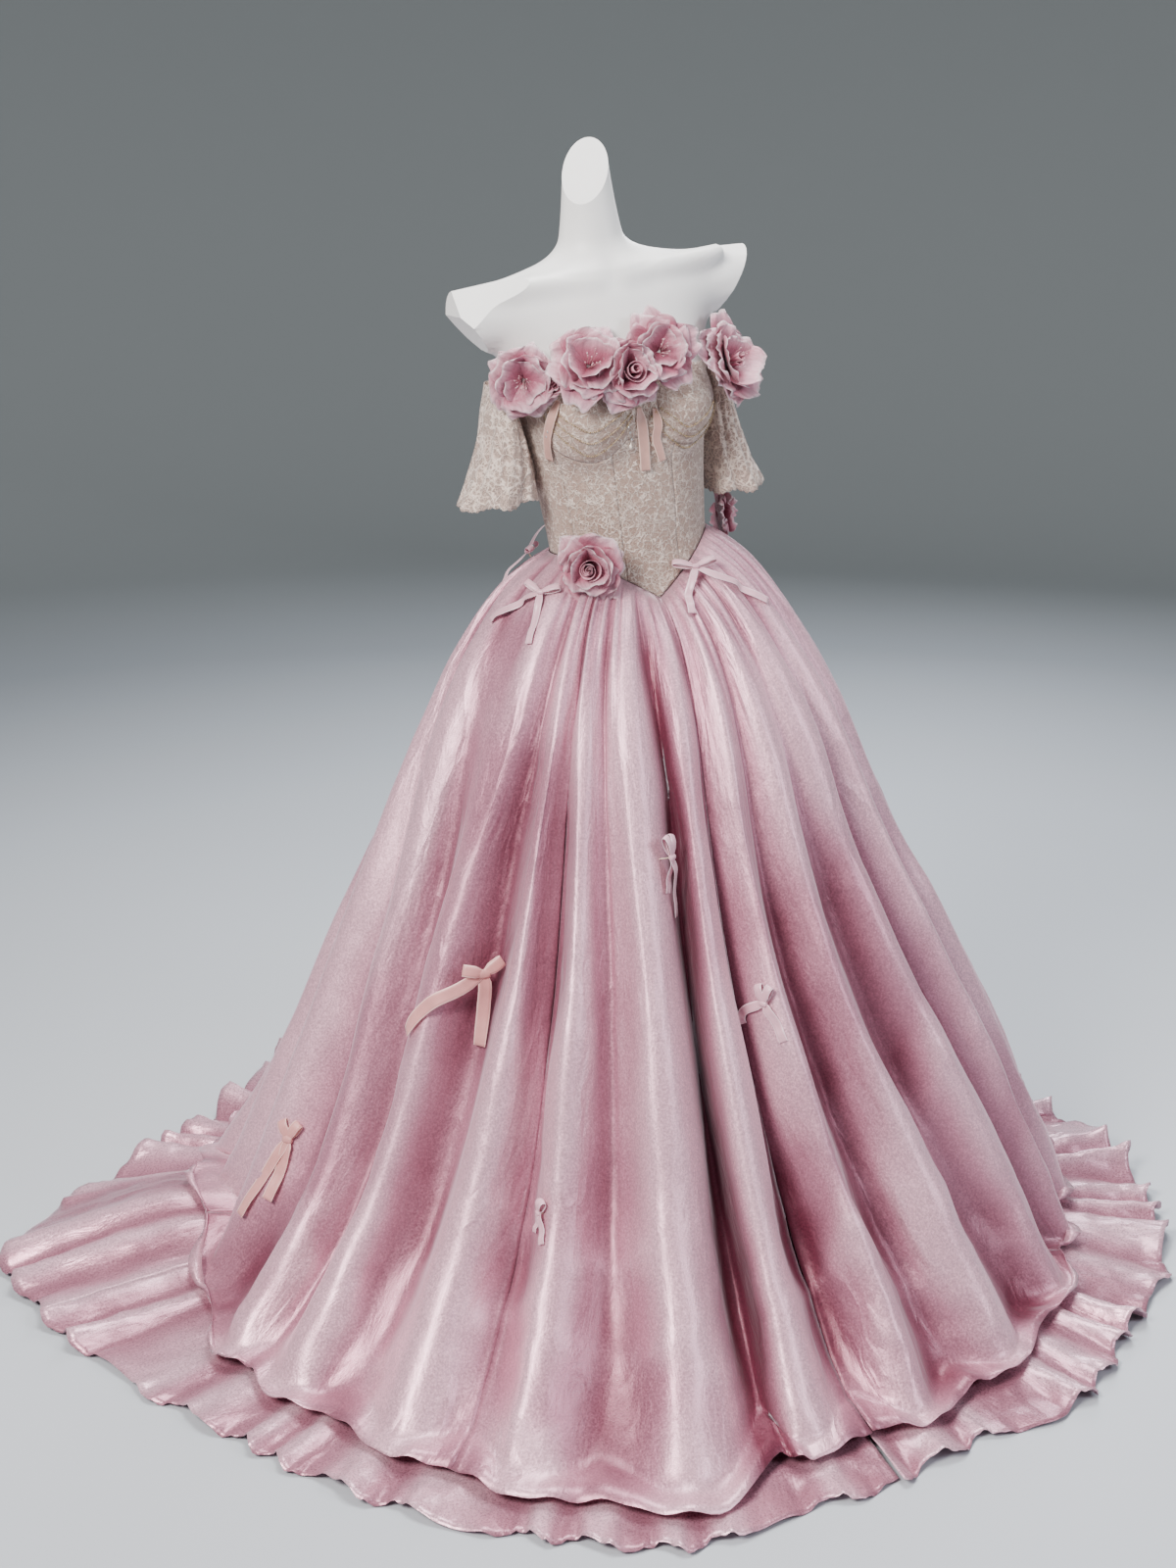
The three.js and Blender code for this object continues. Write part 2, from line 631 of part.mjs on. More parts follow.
const base = disc(
  [
    { z: 0, radius: BASE.radius },
    { z: BASE.edge, radius: BASE.radius },
    { z: BASE.top, radius: BASE.radius - 8 },
  ],
  BASE.sides,
);
add("stand_base", geometryOf(base.points, base.triangles), "stand");
const pole = disc(
  [
    { z: POLE.foot, radius: POLE.radius },
    { z: POLE.head, radius: POLE.radius },
  ],
  POLE.sides,
);
add("stand_pole", geometryOf(pole.points, pole.triangles), "stand");

// Dress form with its flat cuts
function cutBlock(cut) {
  const box = new THREE.BoxGeometry(400, 400, 400).toNonIndexed();
  const place = new THREE.Object3D();
  const rise = cut.rise * DEG;
  const turn = cut.turn * DEG;
  const flat = Math.cos(rise);
  const out = new THREE.Vector3(Math.sin(turn) * flat, -Math.cos(turn) * flat, Math.sin(rise));
  place.quaternion.setFromUnitVectors(new THREE.Vector3(0, 0, 1), out);
  place.position.set(cut.x, cut.y, cut.z).addScaledVector(out, 200);
  place.updateMatrixWorld();
  box.applyMatrix4(place.matrixWorld);
  const pos = box.getAttribute("position");
  const points = [];
  const triangles = [];
  for (let i = 0; i < pos.count; i += 1) points.push([pos.getX(i), pos.getY(i), pos.getZ(i)]);
  for (let i = 0; i < pos.count; i += 3) triangles.push([i, i + 1, i + 2]);
  const keys = new Map();
  const merged = [];
  const index = points.map((p) => {
    const key = p.map((c) => Math.round(c * 1000)).join(",");
    if (!keys.has(key)) keys.set(key, merged.push(p) - 1);
    return keys.get(key);
  });
  return solidOf(merged, triangles.map((t) => t.map((k) => index[k])));
}

const firmRows = FORM_ROWS.map((r, i) => {
  const worn = r.z > PRESS.from && r.z < PRESS.to;
  return worn ? FORM_ANGLES.map((a) => formPoint(a, r.z, r.rise, -PRESS.depth)) : formRows[i];
});
const formBody = barrel(firmRows);
let form = solidOf(formBody.points, formBody.triangles);
for (const cut of CUTS) form = form.subtract(cutBlock(cut));
add("dress_form", meshOf(form, lean), "form");

// Bodice
const signed = (angle) => ((((angle + 180) % 360) + 360) % 360) - 180;

function waistZ(angle) {
  const near = Math.max(0, 1 - Math.abs(signed(angle)) / WAIST.reach);
  return WAIST.side - (WAIST.side - WAIST.point) * near ** WAIST.shape;
}

function necklineZ(angle) {
  const a = Math.abs(signed(angle));
  if (a < 60) return mix(BODICE.top, BODICE.sideTop, ease(a / 60));
  return mix(BODICE.sideTop, BODICE.backTop, ease((a - 60) / 120));
}

function cupZ(angle) {
  const a = Math.abs(signed(angle));
  const u = (a - CUP.middle) / (CUP.seam - CUP.middle);
  const ends = mix(CUP.inner, CUP.side, clamp(u, 0, 1));
  return mix(ends, CUP.low, Math.sin(clamp(u, 0, 1) * Math.PI));
}

const EDGES = { waist: waistZ, neckline: necklineZ, cup: cupZ };

function panelAngles(from, to) {
  const inner = [];
  for (let k = -2; k <= 1; k += 1) inner.push(...FORM_ANGLES.map((a) => a + 360 * k));
  const between = inner.filter((a) => a > from + 1 && a < to - 1);
  return [from + BODICE.seamGap, ...between, to - BODICE.seamGap].sort((a, b) => a - b);
}

function panelSheet(panel, out) {
  const angles = panelAngles(panel.from, panel.to);
  const rows = [];
  for (let i = 0; i <= panel.rows; i += 1) {
    rows.push(
      angles.map((a) => {
        const low = EDGES[panel.low](a) + CUP.gap;
        const high = EDGES[panel.high](a) - (panel.high === "cup" ? CUP.gap : 0);
        return lean(skinPoint(a, mix(low, high, i / panel.rows), out));
      }),
    );
  }
  return rows;
}

for (const panel of PANELS) {
  const outer = panelSheet(panel, BODICE.clear + BODICE.wall);
  const inner = panelSheet(panel, BODICE.clear);
  const made = wall(outer, inner);
  add(panel.name, geometryOf(made.points, made.triangles), "lace");
}

// Sleeves
function sleeve(side) {
  const wide = curve(SLEEVE, "z", "wide");
  const deep = curve(SLEEVE, "z", "deep");
  const midX = curve(SLEEVE, "z", "x");
  const midY = curve(SLEEVE, "z", "y");
  const c = SLEEVE_CUT;
  const form = side > 0 ? SLEEVE_SIDES.left : SLEEVE_SIDES.right;
  const ring = (row, inset, cuff) =>
    Array.from({ length: c.sides }, (_, j) => {
      const a = (j / c.sides) * 2 * Math.PI;
      const wave = cuff * Math.sin(a * c.waves) * c.wave;
      const fall = (SLEEVE[0].z - row.z) * form.stretch;
      const z = SLEEVE[0].z - fall - cuff * Math.cos(a * c.waves) * c.dip * 0.5;
      const across = midX(row.z) + Math.sin(a) * (wide(row.z) + wave - inset);
      const x = form.inner + (across - form.inner) * form.spread;
      const y = midY(row.z) - Math.cos(a) * (deep(row.z) + wave - inset);
      const angle = Math.atan2(x, MIDDLE_Y - y) / DEG;
      const skin = skinPoint(angle, Math.min(z, 1325), BODICE.clear + BODICE.wall + c.clear + inset);
      const reach = Math.hypot(skin[0], skin[1] - MIDDLE_Y);
      const here = Math.hypot(x, y - MIDDLE_Y);
      const k = here < reach ? reach / here : 1;
      return lean([side * x * k, MIDDLE_Y + (y - MIDDLE_Y) * k, z]);
    });
  const dip = (i) => (i === SLEEVE.length - 1 ? 1 : 0);
  const sheet = (inset) => SLEEVE.map((row, i) => ring(row, inset, dip(i))).reverse();
  const outer = sheet(0);
  const inner = sheet(c.wall);
  const made = side > 0 ? wall(outer, inner, true) : wall(mirrorRows(outer), mirrorRows(inner), true);
  return geometryOf(made.points, made.triangles);
}

function mirrorRows(rows) {
  return rows.map((row) => row.slice().reverse());
}

add("sleeve_left", sleeve(1), "lace");
add("sleeve_right", sleeve(-1), "lace");

// Skirt
const flareAt = curve(SKIRT_PROFILE, "run", "flare");
const depthAt = curve(SKIRT_PROFILE, "run", "depth");
const gatherAt = curve(SKIRT_PROFILE, "run", "gather");
const hemRadius = curve(SKIRT_HEM, "angle", "radius");
const edgeRadius = curve(FLOUNCE_EDGE, "angle", "radius");
const ruffle = curve(FLOUNCE_EDGE, "angle", "ruffle");

// Top of the skirt at an angle: a place on the form's skin just under the bodice
function waistPoint(angle, drop, out) {
  return lean(skinPoint(angle, waistZ(angle) - drop, out));
}

// Middle line of the skirt at a height
const middle = curve(SKIRT_MIDDLE, "z", "x");

// Angle of a fold top down the skirt
function foldAngle(k, run) {
  const f = FOLDS[((k % FOLDS.length) + FOLDS.length) % FOLDS.length];
  const round = 360 * Math.floor(k / FOLDS.length);
  if (run > 0.5) return mix(f.mid, f.top, ease((run - 0.5) / 0.5)) + round;
  return mix(f.low, f.mid, clamp((run - 0.15) / 0.35, 0, 1)) + round;
}

const bump = (angle, centre, spread) => Math.exp(-((signed(angle - centre) / spread) ** 2));

// Height of the flounce under the skirt, over its ruffles
function flounceTop(angle, radius) {
  const inner = underskirtBottom(angle).radius;
  const mid = inner + FLOUNCE.middle;
  const edge = edgeRadius(turn(angle));
  const peak = FLOUNCE.floor + FLOUNCE.wall + ruffle(turn(angle)) + 2;
  let z = 0;
  if (radius < mid) z = mix(FLOUNCE.top, FLOUNCE.middleZ, clamp((radius - inner) / (mid - inner), 0, 1));
  else z = mix(FLOUNCE.middleZ, peak, clamp((radius - mid) / (edge - mid), 0, 1));
  return z + crestHeight(angle, radius);
}

function crestHeight(angle, radius) {
  const u = clamp((radius - CREST.from) / (CREST.to - CREST.from), 0, 1);
  return CREST.height * bump(angle, CREST.angle, CREST.spread) * Math.sin(Math.PI * u ** 0.8) * (1 - u * 0.4);
}

function underskirtBottom(angle) {
  const top = waistPoint(angle, UNDERSKIRT.drop, UNDERSKIRT.clear + UNDERSKIRT.wall);
  const z = FLOUNCE.top + 0.3;
  const cx = middle(z);
  const flare = UNDERSKIRT_PROFILE[UNDERSKIRT_PROFILE.length - 1].flare;
  return { radius: Math.hypot(top[0] - middle(top[2]), top[1]) + flare, z, cx };
}

// Share of the way from one fold top to the next, with the valley in its own place
function placeIn(k, run) {
  const fold = Math.floor(k);
  const u = k - fold;
  const f = FOLDS[((fold % FOLDS.length) + FOLDS.length) % FOLDS.length];
  const at = mix(0.5, f.at, clamp((1 - run) * 4, 0, 1));
  return u < 0.5 ? u * 2 * at : at + (u - 0.5) * 2 * (1 - at);
}

// Point of the skirt's outside: k counts folds with a fraction, run goes from 1 at the waist to 0 at the hem
function skirtPoint(k, run) {
  const fold = Math.floor(k);
  const u = k - fold;
  const f = FOLDS[((fold % FOLDS.length) + FOLDS.length) % FOLDS.length];
  const place = placeIn(k, run);
  const angle = mix(foldAngle(fold, run), foldAngle(fold + 1, run), place);
  const valley = Math.sin(Math.PI * u) ** 2;
  const deep = depthAt(run) * f.valley * valley ** f.narrow;
  const topAngle = mix(foldAngle(fold, 1), foldAngle(fold + 1, 1), place);
  const top = waistPoint(topAngle, 0.3, SKIRT.waistClear);
  const hem = hemRadius(turn(angle));
  const wide = mix(1, hem / 740, clamp((0.3 - run) / 0.3, 0, 1) ** 1.5);
  const out = flareAt(run) * wide - deep + gatherAt(run) * Math.cos(k * 6 * Math.PI);
  const low = hem - deep * 0.6;
  const waist = Math.hypot(top[0] - middle(top[2]), top[1]);
  const radius = run < 0.001 ? low : waist + out;
  const z0 = top[2] * run;
  const z = Math.max(z0, flounceTop(angle, radius) + FLOUNCE.gap);
  return aroundWaist(top, topAngle, angle, radius, z, run);
}

// Place at a radius from the middle line; near the waist it starts from the waist seam itself
function aroundWaist(top, topAngle, angle, radius, z, run) {
  const near = ease(clamp((run - 0.75) / 0.25, 0, 1));
  const waist = Math.hypot(top[0] - middle(top[2]), top[1]);
  const x0 = middle(z) + radius * Math.sin(angle * DEG);
  const y0 = -radius * Math.cos(angle * DEG);
  const x1 = top[0] + (radius - waist) * Math.sin(topAngle * DEG);
  const y1 = top[1] - (radius - waist) * Math.cos(topAngle * DEG);
  return [mix(x0, x1, near), mix(y0, y1, near), z];
}

const SEAM = 0.006;

function goreSheet(gore) {
  const from = gore.first - 0.5;
  const to = gore.last + 0.5;
  const ks = [];
  for (let fold = gore.first - 1; fold <= gore.last; fold += 1) {
    for (const s of FOLD_STEPS) {
      const k = fold + s;
      if (k > from + 0.01 && k < to - 0.01) ks.push(k);
    }
  }
  const all = [from - 0.14, from + SEAM, ...ks, to - SEAM, to + 0.14];
  const runs = SKIRT.runs.slice().reverse();
  return runs.map((run) => all.map((k) => skirtPoint(k, run)));
}

const goreSheets = new Map();
for (const gore of GORES) {
  const outer = goreSheet(gore);
  goreSheets.set(gore.name, outer);
  const made = wall(trimmed(outer), trimmed(inwards(outer, SKIRT.wall)));
  add(gore.name, geometryOf(made.points, made.triangles), "satin");
}

// Underskirt: two halves of a plain cone inside the skirt
const underFlare = curve(UNDERSKIRT_PROFILE, "run", "flare");

function underskirtPoint(angle, run) {
  const top = waistPoint(angle, UNDERSKIRT.drop, UNDERSKIRT.clear + UNDERSKIRT.wall);
  const bottom = underskirtBottom(angle);
  const last = UNDERSKIRT_PROFILE[UNDERSKIRT_PROFILE.length - 1].run;
  const z = mix(bottom.z, top[2], (run - last) / (1 - last));
  const radius = Math.hypot(top[0] - middle(top[2]), top[1]) + underFlare(run);
  return aroundWaist(top, angle, angle, radius, z, run);
}

const UNDER_HALVES = [
  { name: "underskirt_left", from: 0, to: 180 },
  { name: "underskirt_right", from: 180, to: 360 },
];
for (const half of UNDER_HALVES) {
  const angles = FORM_ANGLES.filter((a) => a > half.from + 1 && a < half.to - 1);
  const all = [half.from - 6, half.from + 0.08, ...angles, half.to - 0.08, half.to + 6];
  const outer = UNDERSKIRT_PROFILE.slice()
    .reverse()
    .map((r) => all.map((a) => underskirtPoint(a, r.run)));
  const made = wall(trimmed(outer), trimmed(inwards(outer, UNDERSKIRT.wall)));
  add(half.name, geometryOf(made.points, made.triangles), "underlayer");
}

// Flounce on the floor
function flouncePoint(angle, band, phase) {
  const bottom = underskirtBottom(angle);
  const mid = bottom.radius + FLOUNCE.middle;
  const edge = edgeRadius(turn(angle)) + FLOUNCE.curl * Math.sin(phase);
  const radius = [edge, mid, bottom.radius][band];
  const lift = (1 + Math.cos(phase)) / 2;
  const low = FLOUNCE.floor + FLOUNCE.wall;
  const flat = [low + ruffle(turn(angle)) * lift, FLOUNCE.middleZ, FLOUNCE.top][band];
  const z = flat + crestHeight(angle, radius);
  const cx = middle(z);
  return [cx + radius * Math.sin(angle * DEG), -radius * Math.cos(angle * DEG), z];
}

const FLOUNCE_PARTS = [
  { name: "flounce_front_left", from: 0, to: 13 },
  { name: "flounce_back_left", from: 13, to: 26 },
  { name: "flounce_back_right", from: 26, to: 39 },
  { name: "flounce_front_right", from: 39, to: 52 },
];
for (const part of FLOUNCE_PARTS) {
  const places = [];
  const steps = FLOUNCE.steps;
  for (let i = part.from * steps - 1; i <= part.to * steps + 1; i += 1) places.push(i / steps);
  places[1] += FLOUNCE.seam;
  places[places.length - 2] -= FLOUNCE.seam;
  const outer = [0, 1, 2].map((band) =>
    places.map((w) => flouncePoint((w * 360) / FLOUNCE.waves, band, w * 2 * Math.PI)),
  );
  const made = wall(trimmed(outer), trimmed(inwards(outer, FLOUNCE.wall)));
  add(part.name, geometryOf(made.points, made.triangles), "underlayer");
}

// Frame of a place: its point, the way out, the way up along the cloth and the way across
function frameOf(origin, out) {
  const n = new THREE.Vector3(...out).normalize();
  const up = new THREE.Vector3(0, 0, 1).addScaledVector(n, -n.z).normalize();
  const side = new THREE.Vector3().crossVectors(up, n);
  return { o: new THREE.Vector3(...origin), n, up, side };
}

const inFrame = (f, across, up, out) =>
  f.o.clone().addScaledVector(f.side, across).addScaledVector(f.up, up).addScaledVector(f.n, out).toArray();

// Frame on the bodice or on the form, at a turn and a height of the torso
function bodyFrame(angle, z, out) {
  const skin = skinPoint(angle, z);
  const n = formNormal(skin);
  const from = lean(skin);
  const to = lean(skin.map((c, k) => c + n[k]));
  const way = to.map((c, k) => c - from[k]);
  const origin = from.map((c, k) => c + way[k] * (BODICE.clear + BODICE.wall + out));
  return frameOf(origin, way);
}

// Frame turned about its own upright line
function turnedFrame(f, angle) {
  const n = f.n.clone().applyAxisAngle(f.up, angle * DEG);
  return { o: f.o, n, up: f.up, side: new THREE.Vector3().crossVectors(f.up, n) };
}

// Thin bowl with a lobed rim; extra makes it larger all over
function bowl(frame, size, lobes, sides, hollow, spin, lift, extra) {
  const sheet = (down) => {
    const points = [inFrame(frame, 0, 0, lift - down)];
    for (let j = 0; j < sides; j += 1) {
      const a = (j / sides) * 2 * Math.PI;
      const wave = Math.cos(lobes * a);
      const r = (size / 2) * (1 + 0.14 * wave) + extra;
      const h = hollow * size * (1 + 0.2 * wave) + lift - down;
      const b = a + spin * DEG;
      points.push(inFrame(frame, r * Math.sin(b), r * Math.cos(b), h));
    }
    return points;
  };
  const top = sheet(-extra);
  const low = sheet(PETAL.wall + extra);
  const half = top.length;
  const triangles = [];
  for (let j = 0; j < sides; j += 1) {
    const a = 1 + j;
    const b = 1 + ((j + 1) % sides);
    triangles.push([0, b, a], [half, half + a, half + b]);
    triangles.push([a, b, half + b], [a, half + b, half + a]);
  }
  return solidOf([...top, ...low], triangles);
}

// Triangles of every piece made so far, for finding how far off the next piece stands
function madeTriangles() {
  const list = [];
  for (const mesh of group.children) {
    const p = mesh.geometry.getAttribute("position");
    const index = mesh.geometry.getIndex().array;
    const at = (k) => new THREE.Vector3().fromBufferAttribute(p, k);
    for (let i = 0; i < index.length; i += 3) list.push([at(index[i]), at(index[i + 1]), at(index[i + 2])]);
  }
  return list;
}

// Post from a piece back to the cloth under it, where it is sewn on; it stops just clear of the cloth
function post(frame, across, up, from, radius, cloth) {
  const corners = [0, 1, 2, 3].map((k) => {
    const a = (k / 4) * 2 * Math.PI;
    return [across + radius * Math.cos(a), up + radius * Math.sin(a)];
  });
  const back = frame.n.clone().negate();
  let reach = POST.longest;
  for (const [a, b] of [[across, up], ...corners]) {
    const ray = new THREE.Ray(new THREE.Vector3(...inFrame(frame, a, b, from)), back);
    for (const t of cloth) {
      const hit = ray.intersectTriangle(t[0], t[1], t[2], false, new THREE.Vector3());
      if (hit) reach = Math.min(reach, hit.distanceTo(ray.origin));
    }
  }
  const low = corners.map(([a, b]) => inFrame(frame, a, b, from - reach + POST.gap));
  const high = corners.map(([a, b]) => inFrame(frame, a, b, from));
  const body = barrel([low, high]);
  return solidOf(body.points, body.triangles);
}

const flowerFrame = (f) => turnedFrame(bodyFrame(f.angle, f.z, f.out), f.face);

function flowerSolid(f, extra) {
  const frame = flowerFrame(f);
  const p = PETAL;
  const outer = bowl(frame, f.size, p.lobes, p.sides, p.hollow * 0.5, f.spin, p.wall, extra);
  const deep = p.hollow * 1.5;
  const heart = bowl(frame, f.size * p.heart, 3, p.heartSides, deep, f.spin + 30, p.wall * 1.6, extra);
  return outer.add(heart);
}

function largestBody(solid) {
  return solid.decompose().sort((a, b) => b.volume() - a.volume())[0];
}

const clothUnder = madeTriangles();
FLOWERS.forEach((f, i) => {
  const frame = flowerFrame(f);
  const root = f.root ?? 0;
  const top = PETAL.wall / 2 + root * PETAL.hollow;
  let solid = flowerSolid(f, 0).add(post(frame, 0, root, top, POST.flower, clothUnder));
  FLOWERS.forEach((g, j) => {
    if (j < i) solid = solid.subtract(flowerSolid(g, 0.4));
  });
  add(f.name, meshOf(largestBody(solid)), "petals");
});

// Flat strip along points, each with the way across it and the way out of it
function strip(stations, width, thick) {
  const points = [];
  for (const s of stations) {
    const at = new THREE.Vector3(...s.p);
    for (const [a, b] of [[-1, 1], [1, 1], [1, -1], [-1, -1]]) {
      const half = (a * width * (s.wide ?? 1)) / 2;
      const corner = at.clone().addScaledVector(s.across, half);
      points.push(corner.addScaledVector(s.out, (b * thick) / 2).toArray());
    }
  }
  const triangles = [];
  const n = stations.length;
  for (let i = 0; i + 1 < n; i += 1) {
    for (let k = 0; k < 4; k += 1) {
      const a = i * 4 + k;
      const b = i * 4 + ((k + 1) % 4);
      triangles.push([a, b, b + 4], [a, b + 4, a + 4]);
    }
  }
  const e = (n - 1) * 4;
  triangles.push([0, 2, 1], [0, 3, 2], [e, e + 1, e + 2], [e, e + 2, e + 3]);
  const made = solidOf(points, triangles);
  return made.volume() > 0 ? made : solidOf(points, triangles.map(([a, b, c]) => [a, c, b]));
}

// Outside of the cloth at a turn and a world height, over the skirt or over the bodice
function clothPoint(angle, z) {
  const top = waistPoint(angle, 0.3, SKIRT.waistClear);
  if (z > top[2]) return lean(skinPoint(angle, waistZ(angle) + z - top[2], BODICE.clear + BODICE.wall + 1));
  let run = z / 1050;
  let p = top;
  for (let i = 0; i < 6; i += 1) {
    let lo = -4;
    let hi = FOLDS.length + 2;
    for (let n = 0; n < 22; n += 1) {
      const k = (lo + hi) / 2;
      p = skirtPoint(k, run);
      const fold = Math.floor(k);
      const here = mix(foldAngle(fold, run), foldAngle(fold + 1, run), placeIn(k, run));
      if (here < turn(angle)) lo = k;
      else hi = k;
    }
    run = clamp((run * z) / p[2], 0.02, 1);
  }
  return p;
}

// Place on the cloth some way across and up from a middle point, moved out by a stand-off
function clothSpot(bow, across, up, out) {
  const mid = clothPoint(bow.angle, bow.z);
  const reach = Math.hypot(mid[0] - middle(bow.z), mid[1]);
  const at = (a, b) => new THREE.Vector3(...clothPoint(bow.angle + (a / reach) / DEG, bow.z + b));
  const p = at(across, up);
  const u = at(across + 4, up).sub(at(across - 4, up));
  const v = at(across, up + 4).sub(at(across, up - 4));
  const n = u.cross(v).normalize();
  return { p: p.addScaledVector(n, out).toArray(), out: n };
}

function bowSolid(bow) {
  const knot = clothSpot(bow, 0, 0, bow.stand);
  const f = frameOf(knot.p, knot.out.toArray());
  const w = bow.width;
  const loopAt = (turnBy) => {
    const c = Math.cos(turnBy * DEG);
    const s = Math.sin(turnBy * DEG);
    const across = f.side.clone().multiplyScalar(-s).addScaledVector(f.up, c);
    const path = [[0, 1.2], [0.6, 5], [1, 1.2], [0.6, -2.4], [0, -1.2]];
    const stations = path.map(([r, h], i) => {
      const before = path[Math.max(0, i - 1)];
      const after = path[Math.min(path.length - 1, i + 1)];
      const run = new THREE.Vector3((after[0] - before[0]) * bow.loop, after[1] - before[1], 0).normalize();
      const out = f.n.clone().multiplyScalar(run.x);
      out.addScaledVector(f.side, -run.y * c).addScaledVector(f.up, -run.y * s);
      const p = inFrame(f, r * bow.loop * c, r * bow.loop * s, h);
      return { p, across, out, wide: r === 0 ? 0.6 : 1 };
    });
    return strip(stations, w, RIBBON_WALL);
  };
  const tail = (end, free) => {
    if (free) {
      const across = f.side.clone().multiplyScalar(-free[1]).addScaledVector(f.up, free[0]).normalize();
      const spot = (t) => inFrame(f, free[0] * t, free[1] * t, free[2] * t);
      const ends = [0, 0.5, 1].map((t) => ({ p: spot(t), across, out: f.n }));
      return strip(ends, w, RIBBON_WALL);
    }
    const stations = [0, 0.45, 1].map((t) => {
      const bend = Math.sin(t * Math.PI) * end[0] * 0.15;
      const standOff = mix(bow.stand - 0.5, TAIL_CLEAR, ease(t));
      const spot = clothSpot(bow, end[0] * t + bend, end[1] * t, standOff);
      return { p: spot.p, out: spot.out, wide: t === 0 ? 0.5 : 1 };
    });
    stations.forEach((s, i) => {
      const a = new THREE.Vector3(...stations[Math.max(0, i - 1)].p);
      const b = new THREE.Vector3(...stations[Math.min(2, i + 1)].p);
      s.across = new THREE.Vector3().crossVectors(b.sub(a), s.out).normalize();
    });
    return strip(stations, w, RIBBON_WALL);
  };
  const half = w * 0.5;
  const knotStations = [-half, half].map((h) => ({ p: inFrame(f, h, 0, 0), across: f.up, out: f.n }));
  let solid = strip(knotStations, w * 0.8, 6).add(post(f, 0, 0, 0, POST.bow, clothUnder));
  for (const piece of [loopAt(bow.loopA), loopAt(bow.loopB), tail(bow.a, bow.free), tail(bow.b)]) {
    solid = solid.add(piece);
  }
  return largestBody(solid);
}

for (const bow of BOWS) add(bow.name, meshOf(bowSolid(bow)), bow.organza ? "organza" : "ribbon");

// Ribbon ends over the bodice
for (const s of STREAMERS) {
  const stations = s.angles.map((angle, i) => {
    const f = bodyFrame(angle, s.heights[i], i === 0 ? STREAMER_SEAT : s.out);
    return { p: f.o.toArray(), across: f.side, out: f.n, wide: i === 0 ? 0.25 : 1 };
  });
  add(s.name, meshOf(strip(stations, s.width, RIBBON_WALL)), "organza");
}

export default group;
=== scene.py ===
"""Evening gown on a dress form: the visible surfaces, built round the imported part.

Sizes are in millimetres until a mesh is made. +Z is up and the front of the gown faces -Y.
Angles run round the gown from the front (0 degrees) towards +X (90 degrees).
"""

import math

import bmesh
import bpy
import numpy as np
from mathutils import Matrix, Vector, noise


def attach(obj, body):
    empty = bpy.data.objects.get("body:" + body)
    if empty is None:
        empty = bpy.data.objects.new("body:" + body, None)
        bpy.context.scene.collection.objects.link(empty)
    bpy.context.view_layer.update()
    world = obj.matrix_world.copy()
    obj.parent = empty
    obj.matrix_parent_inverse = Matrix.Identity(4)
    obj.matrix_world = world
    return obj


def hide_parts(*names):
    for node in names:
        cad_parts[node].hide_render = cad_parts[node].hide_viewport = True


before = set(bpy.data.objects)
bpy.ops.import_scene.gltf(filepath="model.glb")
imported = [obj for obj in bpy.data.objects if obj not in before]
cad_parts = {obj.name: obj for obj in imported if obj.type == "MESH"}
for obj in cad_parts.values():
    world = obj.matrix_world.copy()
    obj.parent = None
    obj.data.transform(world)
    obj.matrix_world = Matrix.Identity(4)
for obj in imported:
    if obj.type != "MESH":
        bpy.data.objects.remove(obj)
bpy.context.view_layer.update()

DEG = math.pi / 180
MM = 0.001

# A sheet's area is at least this share of its flat width by length
LEAST_AREA = 0.31

# Camera and lens, as fitted to the photograph
CAMERA_AT = (-1.2202, -2.7406, 1.600)
CAMERA_TURN = (73.1, 0.0, -22.276)
CAMERA_LENS = 48.6

# Lean of the upper body
LEAN_FROM, LEAN_OVER, LEAN_ANGLE, LEAN_SHIFT = 780, 300, 7.5, -20

# Torso of the form: height, half width, depth to the front, depth to the back
TORSO = [
    (790, 160, 96, 118),
    (860, 166, 104, 124),
    (930, 156, 104, 112),
    (1000, 128, 94, 88),
    (1060, 113, 87, 75),
    (1120, 117, 91, 80),
    (1180, 124, 92, 90),
    (1240, 133, 92, 98),
    (1300, 143, 88, 100),
    (1350, 148, 78, 92),
    (1400, 140, 62, 76),
    (1440, 104, 40, 54),
    (1480, 40, 24, 36),
]
BUST = {"at": (62, -56, 1250), "size": (60, 56, 62), "soft": 26}
SHOULDER = {"half": 252, "y": 10, "z": 1394, "radius": 42, "soft": 46}
COLLARBONE = {"from": (26, -42, 1430), "to": (168, -28, 1436), "radius": 11, "soft": 22}
NECK = [
    (1380, 16, 66),
    (1440, 12, 56),
    (1480, 6, 44),
    (1530, 0, 36),
    (1580, -6, 31),
    (1660, -12, 29),
]
NECK_SOFT, NECK_FROM, TORSO_CLOSES = 34, 1400, 1440
PRESS = {"from": 1100, "to": 1330, "depth": 2.4}
MIDDLE_Y = 8

# Flat cuts of the form: point on the cut, turn and rise of the way it faces
CUTS = [
    ((-192, 0, 1385), -90, -34),
    ((192, 0, 1385), 90, -34),
    ((0, -4, 1572), -34, 36),
    ((-205.5, 0, 1402), -90, 2),
]
RIM = {"round": 4.2, "steps": 5}

# Rays that find the form's surface: height of the start and rise of the ray
FORM_ROWS = [
    (790, 0),
    (900, 0),
    (990, 0),
    (1070, 0),
    (1160, 0),
    (1222, 0),
    (1274, 0),
    (1326, 0),
    (1350, 3),
    (1366, 7),
    (1380, 13),
    (1394, 21),
    (1408, 31),
    (1430, 33),
    (1456, 20),
    (1492, 4),
    (1540, 0),
    (1640, 0),
]

